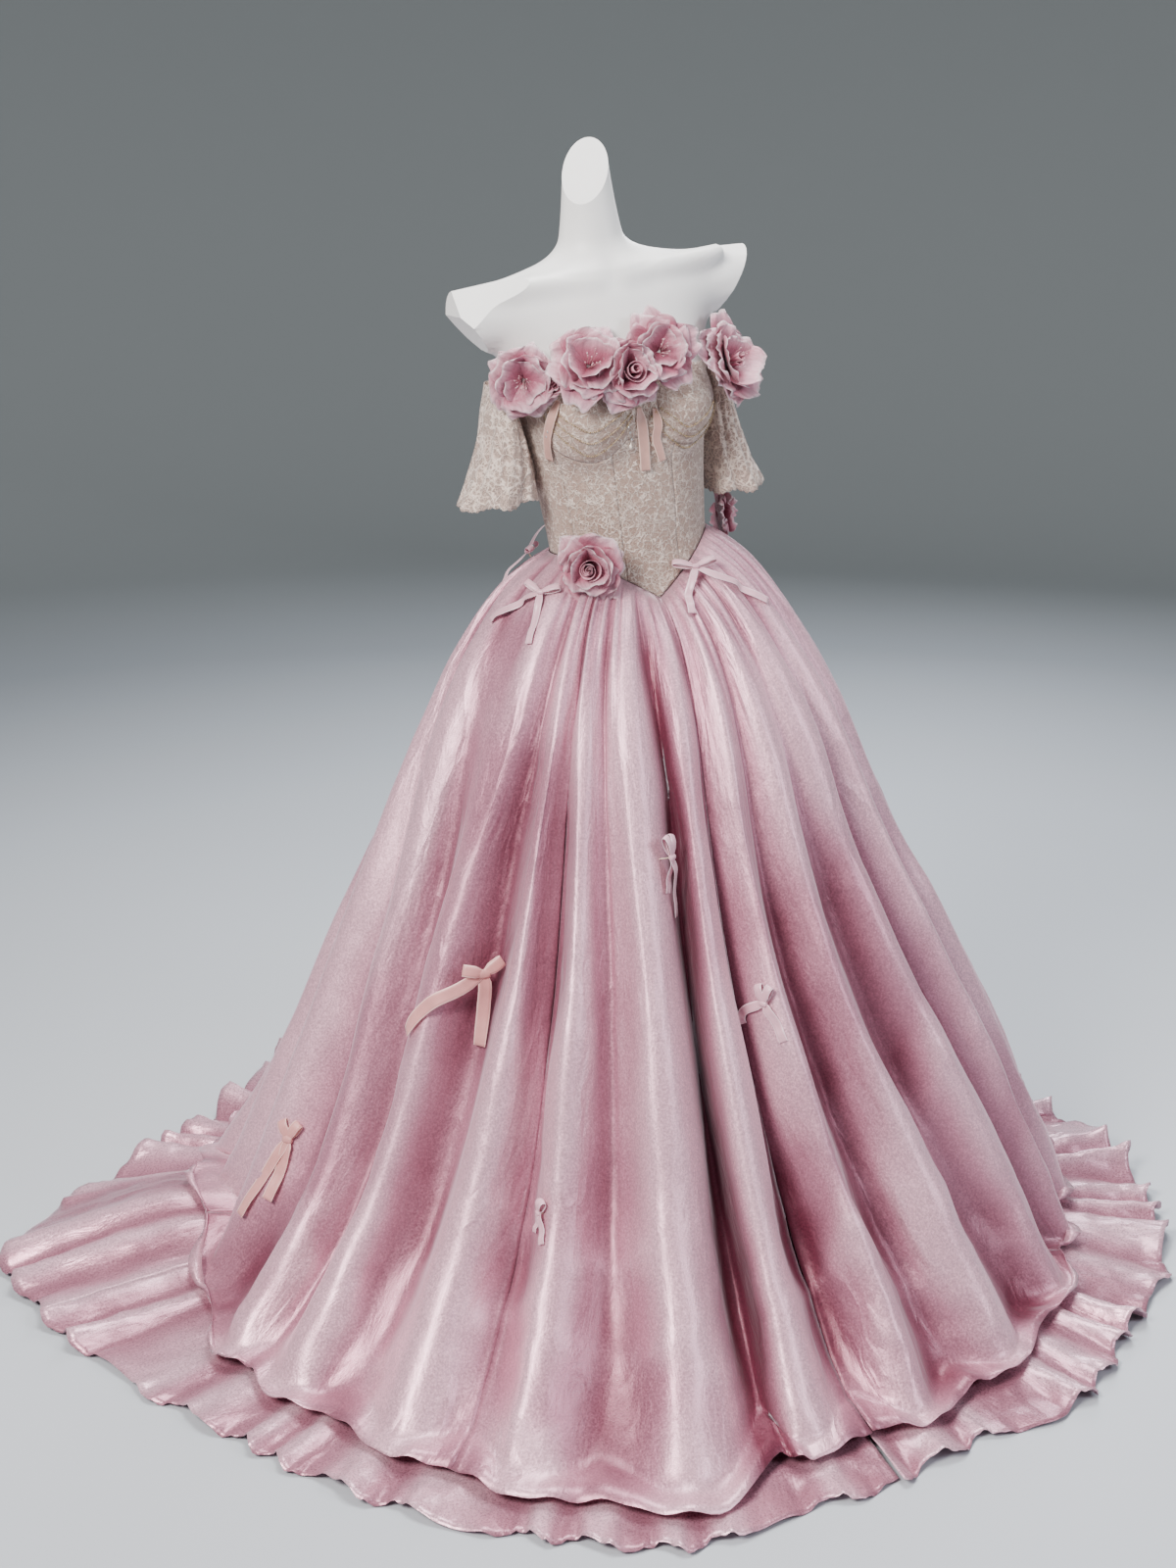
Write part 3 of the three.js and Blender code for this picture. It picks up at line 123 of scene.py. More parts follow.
# Stand: radius and height
STAND_PLATE = [
    (166, 0),
    (169, 0.8),
    (170, 3),
    (170, 13),
    (168.6, 15.6),
    (162, 18.6),
    (158, 19.8),
    (156, 20),
]
STAND_POLE = [
    (15.5, 20.3),
    (17, 21.5),
    (17, 430),
    (18.4, 431.5),
    (18.4, 452),
    (17, 453.5),
    (17, 788),
    (15.5, 789.7),
]

BODICE = {"clear": 1.1, "wall": 1.6, "top": 1322, "side_top": 1300, "back_top": 1284}
WAIST = {"side": 1062, "point": 992, "reach": 64, "shape": 1.2}
CUP = {"low": 1194, "inner": 1218, "side": 1222, "seam": 60, "middle": 12, "gap": 0.35}

# Bodice panels: node, first and last angle, lower and upper edge
PANELS = [
    ("bodice_front_centre", -24, 24, "waist", "cup"),
    ("bodice_front_right", -60, -24, "waist", "cup"),
    ("bodice_front_left", 24, 60, "waist", "cup"),
    ("bodice_cup_right", -60, -12, "cup", "neckline"),
    ("bodice_cup_left", 12, 60, "cup", "neckline"),
    ("bodice_bridge", -12, 12, "cup", "neckline"),
    ("bodice_side_right", -111, -60, "waist", "neckline"),
    ("bodice_side_left", 60, 111, "waist", "neckline"),
    ("bodice_back_right", -176, -111, "waist", "neckline"),
    ("bodice_back_left", 111, 176, "waist", "neckline"),
    ("bodice_back_placket", 176, 184, "waist", "neckline"),
]

# Sleeves: height, middle line x and y, half width, half depth
SLEEVE = [
    (1306, 158, 10, 13, 46),
    (1272, 163, 9, 20, 50),
    (1232, 165, 8, 30, 54),
    (1188, 172, 8, 43, 58),
    (1150, 183, 8, 54, 63),
]
SLEEVE_TOP, SLEEVE_CUFF, SLEEVE_END = 1306, 1188, 1150
# For each side: stretch of the length, spread of the width and where the width is held
SLEEVE_SIDES = {1: (1.28, 0.8, 126), -1: (1, 1, 126)}
SLEEVE_CUT = {"clear": 1.1, "waves": 6, "wave": 5, "dip": 6}

# Skirt: run (1 at the waist, 0 at the floor), flare, fold depth, gather height
SKIRT_PROFILE = [
    (1.0, 0, 0, 0),
    (0.985, 26, 3, 2.4),
    (0.955, 66, 9, 3),
    (0.9, 112, 15, 2.2),
    (0.79, 178, 25, 0.6),
    (0.64, 251, 38, 0),
    (0.48, 334, 52, 0),
    (0.325, 411, 62, 0),
    (0.19, 492, 64, 0),
    (0.09, 566, 58, 0),
    (0.0, 640, 30, 0),
]
WAIST_CLEAR, WAIST_HEIGHT, HEM_USUAL = 3.8, 1050, 740
SKIRT_MIDDLE = [(0, 0), (250, -8), (500, -20), (750, -31), (900, -33), (1000, -32), (1070, -38)]

# Folds: angle of each fold top at the waist, half way and low, then the valley after it:
# its depth, how narrow it is and where it lies between the two folds
FOLDS = [
    (8, 4, 7, 1.0, 1.0, 0.5),
    (22, 17, 21, 0.95, 1.2, 0.5),
    (36, 35, 40, 0.85, 1.5, 0.6),
    (50, 50, 52, 1.1, 1.2, 0.5),
    (64, 63, 64, 0.95, 1.0, 0.5),
    (78, 77, 77, 0.9, 1.1, 0.45),
    (92, 91, 92, 0.75, 1.0, 0.5),
    (106, 106, 107, 1.0, 1.2, 0.55),
    (119, 120, 121, 0.8, 1.0, 0.5),
    (132, 134, 135, 0.9, 1.3, 0.5),
    (145, 147, 149, 0.7, 1.0, 0.45),
    (158, 160, 163, 1.0, 1.1, 0.5),
    (171, 173, 176, 0.8, 1.0, 0.5),
    (184, 187, 190, 0.9, 1.2, 0.55),
    (197, 201, 204, 0.8, 1.0, 0.5),
    (210, 215, 218, 1.0, 1.1, 0.5),
    (223, 228, 231, 0.8, 1.0, 0.45),
    (236, 241, 244, 0.9, 1.2, 0.5),
    (248, 254, 257, 0.7, 1.0, 0.5),
    (259, 268, 271, 0.75, 1.2, 0.55),
    (271, 283, 287, 0.85, 1.5, 0.45),
    (305, 298, 297, 1.0, 1.2, 0.5),
    (316, 315, 312, 0.9, 1.0, 0.5),
    (322, 325, 325, 0.85, 1.0, 0.5),
    (334, 339, 340, 1.6, 2.2, 0.74),
    (354, 352, 353, 1.2, 1.1, 0.5),
]

# Soft creases of the skirt: place among the folds, run of the upper and lower end, drift,
# height and half width in millimetres. Some are listed and the rest fill in between them.
CREASES = [
    (24.30, 0.93, 0.05, -0.10, 3.0, 9),
    (24.52, 0.80, 0.02, 0.14, -3.4, 12),
    (24.12, 0.90, 0.30, 0.05, 2.2, 7),
    (23.20, 0.96, 0.35, -0.16, 3.2, 8),
    (23.60, 0.97, 0.12, 0.12, 3.6, 10),
    (22.40, 0.96, 0.30, 0.10, 3.4, 9),
    (22.70, 0.90, 0.10, -0.14, 3.0, 13),
    (21.55, 0.95, 0.20, 0.12, 4.2, 13),
    (21.20, 0.80, 0.05, -0.10, -4.0, 18),
    (20.70, 0.90, 0.30, -0.18, 3.6, 12),
    (20.45, 0.60, 0.02, 0.22, 4.8, 20),
    (20.20, 0.94, 0.50, 0.10, 3.0, 10),
    (19.60, 0.85, 0.10, 0.10, 4.0, 16),
    (25.25, 0.96, 0.20, 0.06, 3.2, 9),
    (25.70, 0.90, 0.05, -0.08, 3.0, 11),
    (0.30, 0.95, 0.40, 0.10, 3.2, 10),
    (0.70, 0.80, 0.10, -0.10, 3.8, 14),
    (1.40, 0.94, 0.15, 0.12, 4.4, 16),
    (1.70, 0.70, 0.02, 0.10, -4.0, 20),
    (2.30, 0.90, 0.10, -0.12, 4.6, 18),
    (2.65, 0.75, 0.20, 0.10, 3.4, 14),
    (3.30, 0.90, 0.10, 0.16, 4.2, 18),
]

# Places among the folds of the painted highlight strip and of the painted shade in the deep recess beside it
PAINTED_HIGHLIGHT_STRIP, PAINTED_SHADE_RECESS = 24.12, 24.63

# Gores of the skirt: node, first and last fold
GORES = [
    ("skirt_gore_front_right", 23, 25),
    ("skirt_gore_front_left", 0, 2),
    ("skirt_gore_side_left", 3, 6),
    ("skirt_gore_back_left", 7, 11),
    ("skirt_gore_back_centre", 12, 15),
    ("skirt_gore_back_right", 16, 18),
    ("skirt_gore_side_right", 19, 22),
]

# Hem of the skirt: angle and radius
SKIRT_HEM = [
    (0, 740),
    (14, 722),
    (35, 690),
    (58, 640),
    (90, 640),
    (120, 672),
    (180, 720),
    (240, 705),
    (264, 690),
    (289, 765),
    (302, 775),
    (327, 815),
    (341, 828),
    (352, 745),
    (360, 740),
]

# Edge of the flounce: angle, radius and height of the ruffles
FLOUNCE_EDGE = [
    (0, 792, 14),
    (12, 765, 18),
    (20, 800, 22),
    (36, 775, 26),
    (52, 795, 34),
    (77, 790, 48),
    (90, 770, 48),
    (115, 815, 44),
    (145, 900, 36),
    (180, 975, 34),
    (205, 870, 40),
    (222, 778, 46),
    (239, 812, 48),
    (250, 898, 42),
    (260, 975, 28),
    (267, 945, 22),
    (283, 878, 20),
    (298, 842, 18),
    (313, 852, 16),
    (327, 858, 12),
    (339, 866, 12),
    (349, 815, 12),
    (360, 792, 14),
]
UNDERSKIRT_PROFILE = [(1.0, 0), (0.94, 34), (0.78, 108), (0.45, 240), (0.104, 380)]
UNDERSKIRT = {"drop": 5, "clear": 0.5, "wall": 1.2}
UNDER_BOTH = ["underskirt_left_3d", "underskirt_right_3d"]
FLOUNCE = {"top": 109.4, "middle": 120, "middle_z": 42, "part": 0.42, "floor": 0.6, "wall": 1.2, "waves": 52}
FLOUNCE_CURL, FLOUNCE_GAP = 8, 5
CREST = {"angle": 257, "spread": 11, "height": 74, "from": 560, "to": 985}
FLOUNCE_PARTS = [
    ("flounce_front_left", 0, 13),
    ("flounce_back_left", 13, 26),
    ("flounce_back_right", 26, 39),
    ("flounce_front_right", 39, 52),
]

# Flowers: node, angle, height, size, stand-off, spin, turn of the face, heart, seed
FLOWERS = [
    ("flower_neck_1", -68, 1318, 92, 26, 10, 20, "stamens", 3),
    ("flower_neck_bud", -52, 1300, 46, 12, 40, 8, "bud", 4),
    ("flower_neck_2", -35, 1314, 98, 18, 0, 4, "stamens", 5),
    ("flower_neck_3", -9, 1304, 90, 18, 25, 0, "rose", 6),
    ("flower_neck_4", 20, 1322, 92, 20, 50, -14, "stamens", 7),
    ("flower_neck_5", 59, 1282, 114, 30, 15, -30, "fold", 8),
    ("flower_waist_front", -46, 1056, 88, 40, 30, 8, "rose", 9),
    ("flower_waist_side", 93, 1060, 84, 42, 0, -30, "rose", 10),
]

# Petals in layers: count, length, width and rise of the rim in half flower sizes,
# curl, ruffle, where the petal starts and the turn of the layer
PETAL_LAYERS = [
    (4, 1.18, 0.96, 0.10, 3.0, 3.4, 0.30, 20),
    (5, 1.02, 1.34, 0.26, 5.0, 4.6, 0.10, 0),
    (3, 0.80, 1.28, 0.50, 3.0, 4.2, 0.08, 40),
    (3, 0.54, 1.02, 0.62, 1.0, 2.6, 0.06, 15),
]
BUD_LAYERS = [
    (5, 1.00, 1.10, 0.50, 1.5, 1.5, 0.10, 0),
    (4, 0.66, 0.90, 0.75, 0.5, 1.0, 0.05, 30),
]

# Hearts: rolled strips (radius and height in half flower sizes, turns, foot), then stamens
HEARTS = {
    "rose": ([(0.34, 0.62, 2.6, 1.5), (0.2, 0.66, 1.6, 1.8)], 0),
    "bud": ([(0.42, 0.62, 2.6, 1.5), (0.2, 0.66, 1.6, 1.8)], 0),
    "fold": ([(0.17, 0.5, 1.8, 1.5)], 6),
    "stamens": ([], 13),
}

# Bows: node, angle, height, loop, width, stand, angles of the loops, ends of the tails
BOWS = [
    ("bow_waist_left", 27, 1022, 32, 9, 14, 168, 24, (-34, -50), (44, -44)),
    ("bow_waist_right", -64, 1002, 28, 9, 8, 150, 20, (-58, -44), (14, -60)),
    ("bow_waist_back", -112, 1030, 28, 9, 10, 160, 30, (-44, 10), (16, -56)),
    ("bow_skirt_front", -17, 684, 30, 11, 22, 102, 74, (14, -80), (4, -44)),
    ("bow_skirt_fold", 2, 500, 26, 11, 11, 112, 72, (-26, -40), (8, -46)),
    ("bow_skirt_organza_1", -56, 524, 30, 16, 20, 165, 30, (-58, -80), (14, -96)),
    ("bow_skirt_organza_2", -86, 236, 28, 15, 7, 120, 60, (-10, -110), (14, -80)),
    ("bow_skirt_hem", -37, 264, 18, 9, 10, 106, 76, (6, -30), (-8, -26)),
]
# Side view of a bow's loop: reach in loop lengths, height
LOOP_SHAPE = [
    (0.04, 1.6),
    (0.35, 4.6),
    (0.7, 6.2),
    (0.97, 4.4),
    (1.02, 0.6),
    (0.85, -2.2),
    (0.45, -2.4),
    (0.04, -1.2),
]
# A tail that stands free: across, up, out
FREE_TAIL = {"bow_waist_back": (-52, 26, 16)}
TAIL_CLEAR = 9

# Ribbon ends over the bodice: node, width, angles, heights
STREAMERS = [
    ("streamer_centre", 15, (-1, 0, 1, 0, -1), (1258, 1236, 1214, 1192, 1172)),
    ("streamer_centre_2", 12, (11, 12, 11, 13, 14), (1254, 1234, 1214, 1196, 1180)),
    ("streamer_right", 15, (-50, -53, -58, -61, -64), (1284, 1262, 1240, 1222, 1204)),
]
STREAMER_SEAT, STREAMER_OUT = 1.4, 3.5

# Bead swags under the cups: angle and height along each strand
SWAGS = [
    ((-60, 1265), (-47, 1228), (-36, 1205), (-21, 1221), (-6, 1250)),
    ((-57, 1271), (-45, 1242), (-34, 1224), (-21, 1235), (-7, 1255)),
    ((-53, 1273), (-43, 1255), (-33, 1240), (-22, 1249), (-10, 1262)),
    ((7, 1245), (18, 1212), (33, 1190), (44, 1200), (56, 1232)),
    ((10, 1250), (19, 1224), (32, 1206), (42, 1214), (54, 1240)),
    ((13, 1254), (20, 1238), (28, 1222), (37, 1228), (50, 1248)),
]
CRYSTALS = [(-60, 1237), (-58, 1244), (-10, 1228), (-9, 1218), (-11, 1236)]
DROP = {"angle": -10, "top": 1214, "length": 9, "radius": 2.1}

# Lights: name, place, target and size in metres, power, colour
LIGHTS = [
    ("key", (-3.0, -2.0, 3.3), (0, 0, 0.8), (1.4, 1.4), 310, "#fffaf6"),
    ("fill", (2.4, -3.2, 2.6), (0, 0, 0.8), (1.3, 1.3), 80, "#f4f6ff"),
    ("top", (0.3, 0.2, 4.2), (0, 0, 0.6), (1.8, 1.8), 170, "#ffffff"),
    ("back", (2.4, 3.0, 2.6), (0, 0, 0.8), (1.4, 1.4), 90, "#f7f8ff"),
]
WORLD = {"colour": "#c9ced2", "strength": 0.68}

# Floor that bends up into a wall
FLOOR = {"flat": 5200, "bend": 2200, "wall": 6500, "sides": 128}


# Curves, blends and small sums


def curve(table, column=1):
    """Smooth curve through one column of a table, without overshoot."""
    rows = sorted(table)
    xs = np.array([r[0] for r in rows], float)
    ys = np.array([r[column] for r in rows], float)
    step = np.diff(ys) / np.diff(xs)
    slope = np.empty_like(ys)
    slope[0], slope[-1] = step[0], step[-1]
    a, b = step[:-1], step[1:]
    safe = np.where(np.abs(a + b) < 1e-12, 1, a + b)
    slope[1:-1] = np.where(a * b <= 0, 0, 2 * a * b / safe)

    def at(x):
        x = np.clip(np.asarray(x, float), xs[0], xs[-1])
        i = np.clip(np.searchsorted(xs, x, side="left") - 1, 0, len(xs) - 2)
        w = xs[i + 1] - xs[i]
        u = (x - xs[i]) / w
        v = 1 - u
        low = ys[i] * (1 + 2 * u) * v * v + slope[i] * w * u * v * v
        return low + ys[i + 1] * u * u * (3 - 2 * u) - slope[i + 1] * w * u * u * v

    return at


def mix(a, b, t):
    return a + (b - a) * t


def ease(t):
    return t * t * (3 - 2 * t)


def clamp(v):
    return np.clip(v, 0.0, 1.0)


def signed(angle):
    return (np.asarray(angle, float) + 180) % 360 - 180


def unit(v):
    v = np.asarray(v, float)
    return v / np.maximum(1e-9, np.linalg.norm(v, axis=-1, keepdims=True))


def circle(count):
    """Even turns once round, in radians."""
    return np.arange(count) / count * 2 * math.pi


def running_length(path):
    """Length from the first point of a line to each of its points."""
    return np.concatenate([[0], np.linalg.norm(np.diff(path, axis=0), axis=-1).cumsum()])


def ray_way(angle, rise):
    """Way of a ray at a turn round the gown and a rise above the level."""
    turn, up = angle * DEG, rise * DEG
    return np.stack([np.sin(turn) * np.cos(up), -np.cos(turn) * np.cos(up), np.sin(up)], -1)


def bump(angle, centre, spread):
    """Soft hump round the gown, 1 at its centre."""
    return np.exp(-((signed(angle - centre) / spread) ** 2))


def lean(p):
    """Upright body place to gown place."""
    p = np.asarray(p, float)
    x, y, z = p[..., 0], p[..., 1], p[..., 2]
    u = clamp((z - LEAN_FROM) / LEAN_OVER)
    past = np.maximum(0, z - LEAN_FROM - LEAN_OVER)
    angle = LEAN_ANGLE * DEG * ease(u)
    far = LEAN_OVER * (u**3 - u**4 / 2) + past
    cx = LEAN_SHIFT - math.sin(LEAN_ANGLE * DEG) * far
    cz = z - (1 - math.cos(LEAN_ANGLE * DEG)) * far
    return np.stack([cx + x * np.cos(angle), y, cz + x * np.sin(angle)], -1)


# Form

torso_half = curve(TORSO, 1)
torso_front = curve(TORSO, 2)
torso_back = curve(TORSO, 3)
neck_y = curve(NECK, 1)
neck_radius = curve(NECK, 2)


def smooth_min(a, b, soft):
    """Lower of two distances, blended where they are close."""
    h = clamp(0.5 + 0.5 * (b - a) / soft)
    return mix(b, a, h) - soft * h * (1 - h)


def rod(p, a, b, radius):
    """Distance from a round rod between two points."""
    a, b = np.array(a, float), np.array(b, float)
    d = b - a
    t = clamp(((p - a) @ d) / (d @ d))
    return np.linalg.norm(p - a - t[..., None] * d, axis=-1) - radius


def form_field(p):
    """Distance from the form's skin, in the body's own upright frame."""
    x, y, z = p[..., 0], p[..., 1], p[..., 2]
    a = torso_half(z)
    b = np.where(y < 0, torso_front(z), torso_back(z))
    q = np.maximum(1e-3, np.hypot(x / a, y / b))
    f = (q - 1) * q / np.maximum(1e-6, np.hypot(x / a / a, y / b / b))
    f = f + np.maximum(0, z - TORSO_CLOSES) * 0.9
    side = np.stack([np.abs(x), y, z], -1)
    at, size = np.array(BUST["at"], float), np.array(BUST["size"], float)
    e3 = (side - at) / size
    e = np.linalg.norm(e3, axis=-1)
    grad = np.maximum(1e-6, np.linalg.norm(e3 / size, axis=-1) / np.maximum(e, 1e-3))
    f = smooth_min(f, (e - 1) / grad, BUST["soft"])
    s = SHOULDER
    start, end = (0, s["y"], s["z"] + 14), (s["half"], s["y"], s["z"])
    f = smooth_min(f, rod(side, start, end, s["radius"]), s["soft"])
    c = COLLARBONE
    f = smooth_min(f, rod(side, c["from"], c["to"], c["radius"]), c["soft"])
    neck = np.hypot(x, y - neck_y(z)) - neck_radius(z)
    return smooth_min(f, neck, NECK_SOFT)


def form_point(angle, z, rise=0.0, out=0.0):
    """Point of the form's skin, moved out by a clearance, on a ray from its middle line."""
    values = [np.asarray(v, float) for v in (angle, z, rise, out)]
    angle, z, rise, out = np.broadcast_arrays(*values)
    y = np.where(z > NECK_FROM, neck_y(z), MIDDLE_Y)
    d = ray_way(angle, rise)
    o = np.stack([np.zeros_like(z), y, z], -1)
    lo = np.full(z.shape, 8.0)
    hi = lo.copy()
    going = np.ones(z.shape, bool)
    for _ in range(54):
        going = going & (form_field(o + d * hi[..., None]) < out)
        if not going.any():
            break
        lo = np.where(going, hi, lo)
        hi = np.where(going, hi + 6, hi)
    for _ in range(15):
        m = (lo + hi) / 2
        inside = form_field(o + d * m[..., None]) < out
        lo = np.where(inside, m, lo)
        hi = np.where(inside, hi, m)
    return o + d * lo[..., None]


def form_normal(p):
    """Way out of the form's skin."""
    e = 0.5
    parts = []
    for k in range(3):
        step = np.zeros(3)
        step[k] = e
        parts.append(form_field(p + step) - form_field(p - step))
    return unit(np.stack(parts, -1))


# Meshes


def new_object(name, data):
    obj = bpy.data.objects.new(name, data)
    bpy.context.scene.collection.objects.link(obj)
    return obj


def smooth_object(name, mesh, material):
    mesh.polygons.foreach_set("use_smooth", [True] * len(mesh.polygons))
    mesh.materials.append(bpy.data.materials[material])
    return new_object(name, mesh)


def even_shading(obj):
    mod = obj.modifiers.new("Even shading", "WEIGHTED_NORMAL")
    mod.weight = 60


def take_over(obj, slot, *nodes):
    """Puts a piece on the one body, in the place of the nodes that it shows."""
    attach(obj, "root")
    if nodes:
        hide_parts(*nodes)


def make_object(name, points, faces, material, uv=None, thick=0.0, offset=-1.0, tone=None):
    """Mesh object from points in millimetres; uv and tone have one entry for each point."""
    mesh = bpy.data.meshes.new(name)
    places = np.asarray(points, float).reshape(-1, 3) * MM
    mesh.from_pydata(places.tolist(), [], [list(map(int, f)) for f in faces])
    mesh.validate()
    if uv is not None:
        layer = mesh.uv_layers.new(name="UVMap")
        index = np.empty(len(mesh.loops), int)
        mesh.loops.foreach_get("vertex_index", index)
        layer.data.foreach_set("uv", np.asarray(uv, float)[index].astype(np.float32).ravel())
    if tone is not None:
        layer = mesh.attributes.new("tone", "FLOAT", "POINT")
        layer.data.foreach_set("value", np.asarray(tone, np.float32).ravel())
    obj = smooth_object(name, mesh, material)
    if thick:
        mod = obj.modifiers.new("Cloth wall", "SOLIDIFY")
        mod.thickness = thick * MM
        mod.offset = offset
        mod.use_even_offset = False
    return obj


def grid_faces(rows, cols, closed=False):
    """Quads of a grid; rows run up and columns run towards +X, so they face outwards."""
    i, j = np.meshgrid(np.arange(rows - 1), np.arange(cols if closed else cols - 1), indexing="ij")
    a = (i * cols + j).ravel()
    b = (i * cols + (j + 1) % cols).ravel()
    return np.stack([a, b, b + cols, a + cols], -1)


def capped_faces(rows, sides):
    """Faces of a closed tube of rings, with a cap at each end."""
    last = (rows - 1) * sides
    faces = [list(f) for f in grid_faces(rows, sides, closed=True)]
    return faces + [list(reversed(range(sides))), [last + k for k in range(sides)]]


def grid_normals(p):
    return unit(np.cross(np.gradient(p, axis=1), np.gradient(p, axis=0)))


def grid_uv(p):
    """Lengths across and up the grid in metres, which keep the weave at its real size."""
    across = np.linalg.norm(np.diff(p, axis=1), axis=-1).mean(0).cumsum() * MM
    up = np.linalg.norm(np.diff(p, axis=0), axis=-1).mean(1).cumsum() * MM
    u = np.concatenate([[0], across])
    v = np.concatenate([[0], up])
    return np.stack(np.meshgrid(u, v), -1).reshape(-1, 2)


def grid_size(p, closed=False):
    """Cut size of a sheet: its widest row, its longest column and its area, in metres."""
    q = np.concatenate([p, p[:, :1]], 1) if closed else p
    width = np.linalg.norm(np.diff(q, axis=1), axis=-1).sum(1).max() * MM
    length = np.linalg.norm(np.diff(q, axis=0), axis=-1).sum(0).max() * MM
    a = np.cross(q[:-1, 1:] - q[:-1, :-1], q[1:, :-1] - q[:-1, :-1])
    b = np.cross(q[1:, 1:] - q[:-1, 1:], q[1:, 1:] - q[1:, :-1])
    area = (np.linalg.norm(a, axis=-1).sum() + np.linalg.norm(b, axis=-1).sum()) / 2 * MM * MM
    return width, length, area


def cloth_grid(name, p, material, slot, held, rests_on, closed=False, thick=0.8, tone=None):
    """Piece of cloth on a grid of points, with its flat width, length and area worked out."""
    faces = grid_faces(*p.shape[:2], closed=closed)
    made = make_object(name + "_3d", p, faces, material, grid_uv(p), thick, tone=tone)
    take_over(made, slot, name)
    width, length, area = grid_size(p, closed)
    width, length = round(width, 3), round(length, 3)
    flat, whole = (width, length), width * length
    area = round(float(np.clip(area, LEAST_AREA * whole, whole)), 4)


# Materials


def linear(hex_colour):
    value = [int(hex_colour[i : i + 2], 16) / 255 for i in (1, 3, 5)]
    return tuple(c / 12.92 if c <= 0.04045 else ((c + 0.055) / 1.055) ** 2.4 for c in value) + (1.0,)


class Shader:
    """A material with a Principled shader and short calls for the nodes before it."""

    def __init__(self, name, **sockets):
        self.material = bpy.data.materials.new(name)
        self.material.use_nodes = True
        self.tree = self.material.node_tree
        self.bsdf = self.tree.nodes["Principled BSDF"]
        for socket, value in sockets.items():
            self.bsdf.inputs[socket.replace("_", " ")].default_value = value

    def node(self, kind, values=None, **links):
        n = self.tree.nodes.new(kind)
        for key, value in (values or {}).items():
            if key in n.inputs:
                n.inputs[key].default_value = value
            else:
                setattr(n, key, value)
        for key, source in links.items():
            self.tree.links.new(source, n.inputs[key.replace("_", " ")])
        return n

    def coords(self, scale=(1, 1, 1), kind="Object"):
        source = self.node("ShaderNodeTexCoord").outputs[kind]
        mapping = self.node("ShaderNodeMapping", Vector=source)
        mapping.inputs["Scale"].default_value = scale
        return mapping.outputs["Vector"]

    def noise(self, scale, detail=3.0, rough=0.55, stretch=(1, 1, 1), kind="Object", distort=0.0):
        values = {"Scale": scale, "Detail": detail, "Roughness": rough, "Distortion": distort}
        return self.node("ShaderNodeTexNoise", values, Vector=self.coords(stretch, kind)).outputs["Fac"]

    def voronoi(self, scale, stretch=(1, 1, 1), kind="Object", warp=None):
        n = self.tree.nodes.new("ShaderNodeTexVoronoi")
        n.feature = "DISTANCE_TO_EDGE"
        n.inputs["Scale"].default_value = scale
        vector = self.coords(stretch, kind)
        if warp:
            soft = self.node("ShaderNodeTexNoise", {"Scale": warp[0], "Detail": 2.0}, Vector=vector)
            moved = self.node("ShaderNodeVectorMath", {"operation": "MULTIPLY_ADD"})
            self.tree.links.new(soft.outputs["Color"], moved.inputs[0])
            moved.inputs[1].default_value = (warp[1],) * 3
            self.tree.links.new(vector, moved.inputs[2])
            vector = moved.outputs[0]
        self.tree.links.new(vector, n.inputs["Vector"])
        return n.outputs["Distance"]

    def spread(self, value, low, high, first, last):
        """Value between low and high, spread between first and last."""
        limits = {"From Min": low, "From Max": high, "To Min": first, "To Max": last}
        return self.node("ShaderNodeMapRange", limits, Value=value).outputs["Result"]

    def ramp(self, fac, stops):
        n = self.tree.nodes.new("ShaderNodeValToRGB")
        elements = n.color_ramp.elements
        while len(elements) < len(stops):
            elements.new(0.5)
        for e, (place, colour) in zip(elements, stops):
            e.position = place
            e.color = linear(colour) if isinstance(colour, str) else (colour, colour, colour, 1)
        self.tree.links.new(fac, n.inputs["Fac"])
        return n.outputs["Color"]

    def math(self, operation, *values):
        n = self.tree.nodes.new("ShaderNodeMath")
        n.operation = operation
        for target, v in zip(n.inputs, values):
            if isinstance(v, (int, float)):
                target.default_value = v
            else:
                self.tree.links.new(v, target)
        return n.outputs[0]

    def blend(self, fac, a, b, kind="MIX"):
        n = self.tree.nodes.new("ShaderNodeMix")
        n.data_type = "RGBA"
        n.blend_type = kind
        for socket, v in (("Factor", fac), ("A", a), ("B", b)):
            kind_wanted = "VALUE" if socket == "Factor" else "RGBA"
            target = next(s for s in n.inputs if s.name == socket and s.type == kind_wanted)
            if isinstance(v, (int, float)):
                target.default_value = v
            elif isinstance(v, str):
                target.default_value = linear(v)
            else:
                self.tree.links.new(v, target)
        return next(s for s in n.outputs if s.type == "RGBA")

    def split(self, kind="UV"):
        """Across and along the cloth; for Object_z, across and up in the world."""
        source = "Object" if kind == "Object_z" else kind
        n = self.node("ShaderNodeSeparateXYZ", Vector=self.coords(kind=source))
        return n.outputs["X"], n.outputs["Z" if kind == "Object_z" else "Y"]

    def relief(self, height, strength, distance, after=None):
        n = self.node("ShaderNodeBump", {"Strength": strength, "Distance": distance}, Height=height)
        if after is not None:
            self.tree.links.new(after, n.inputs["Normal"])
        return n.outputs["Normal"]

    def set(self, socket, source):
        self.tree.links.new(source, self.bsdf.inputs[socket])


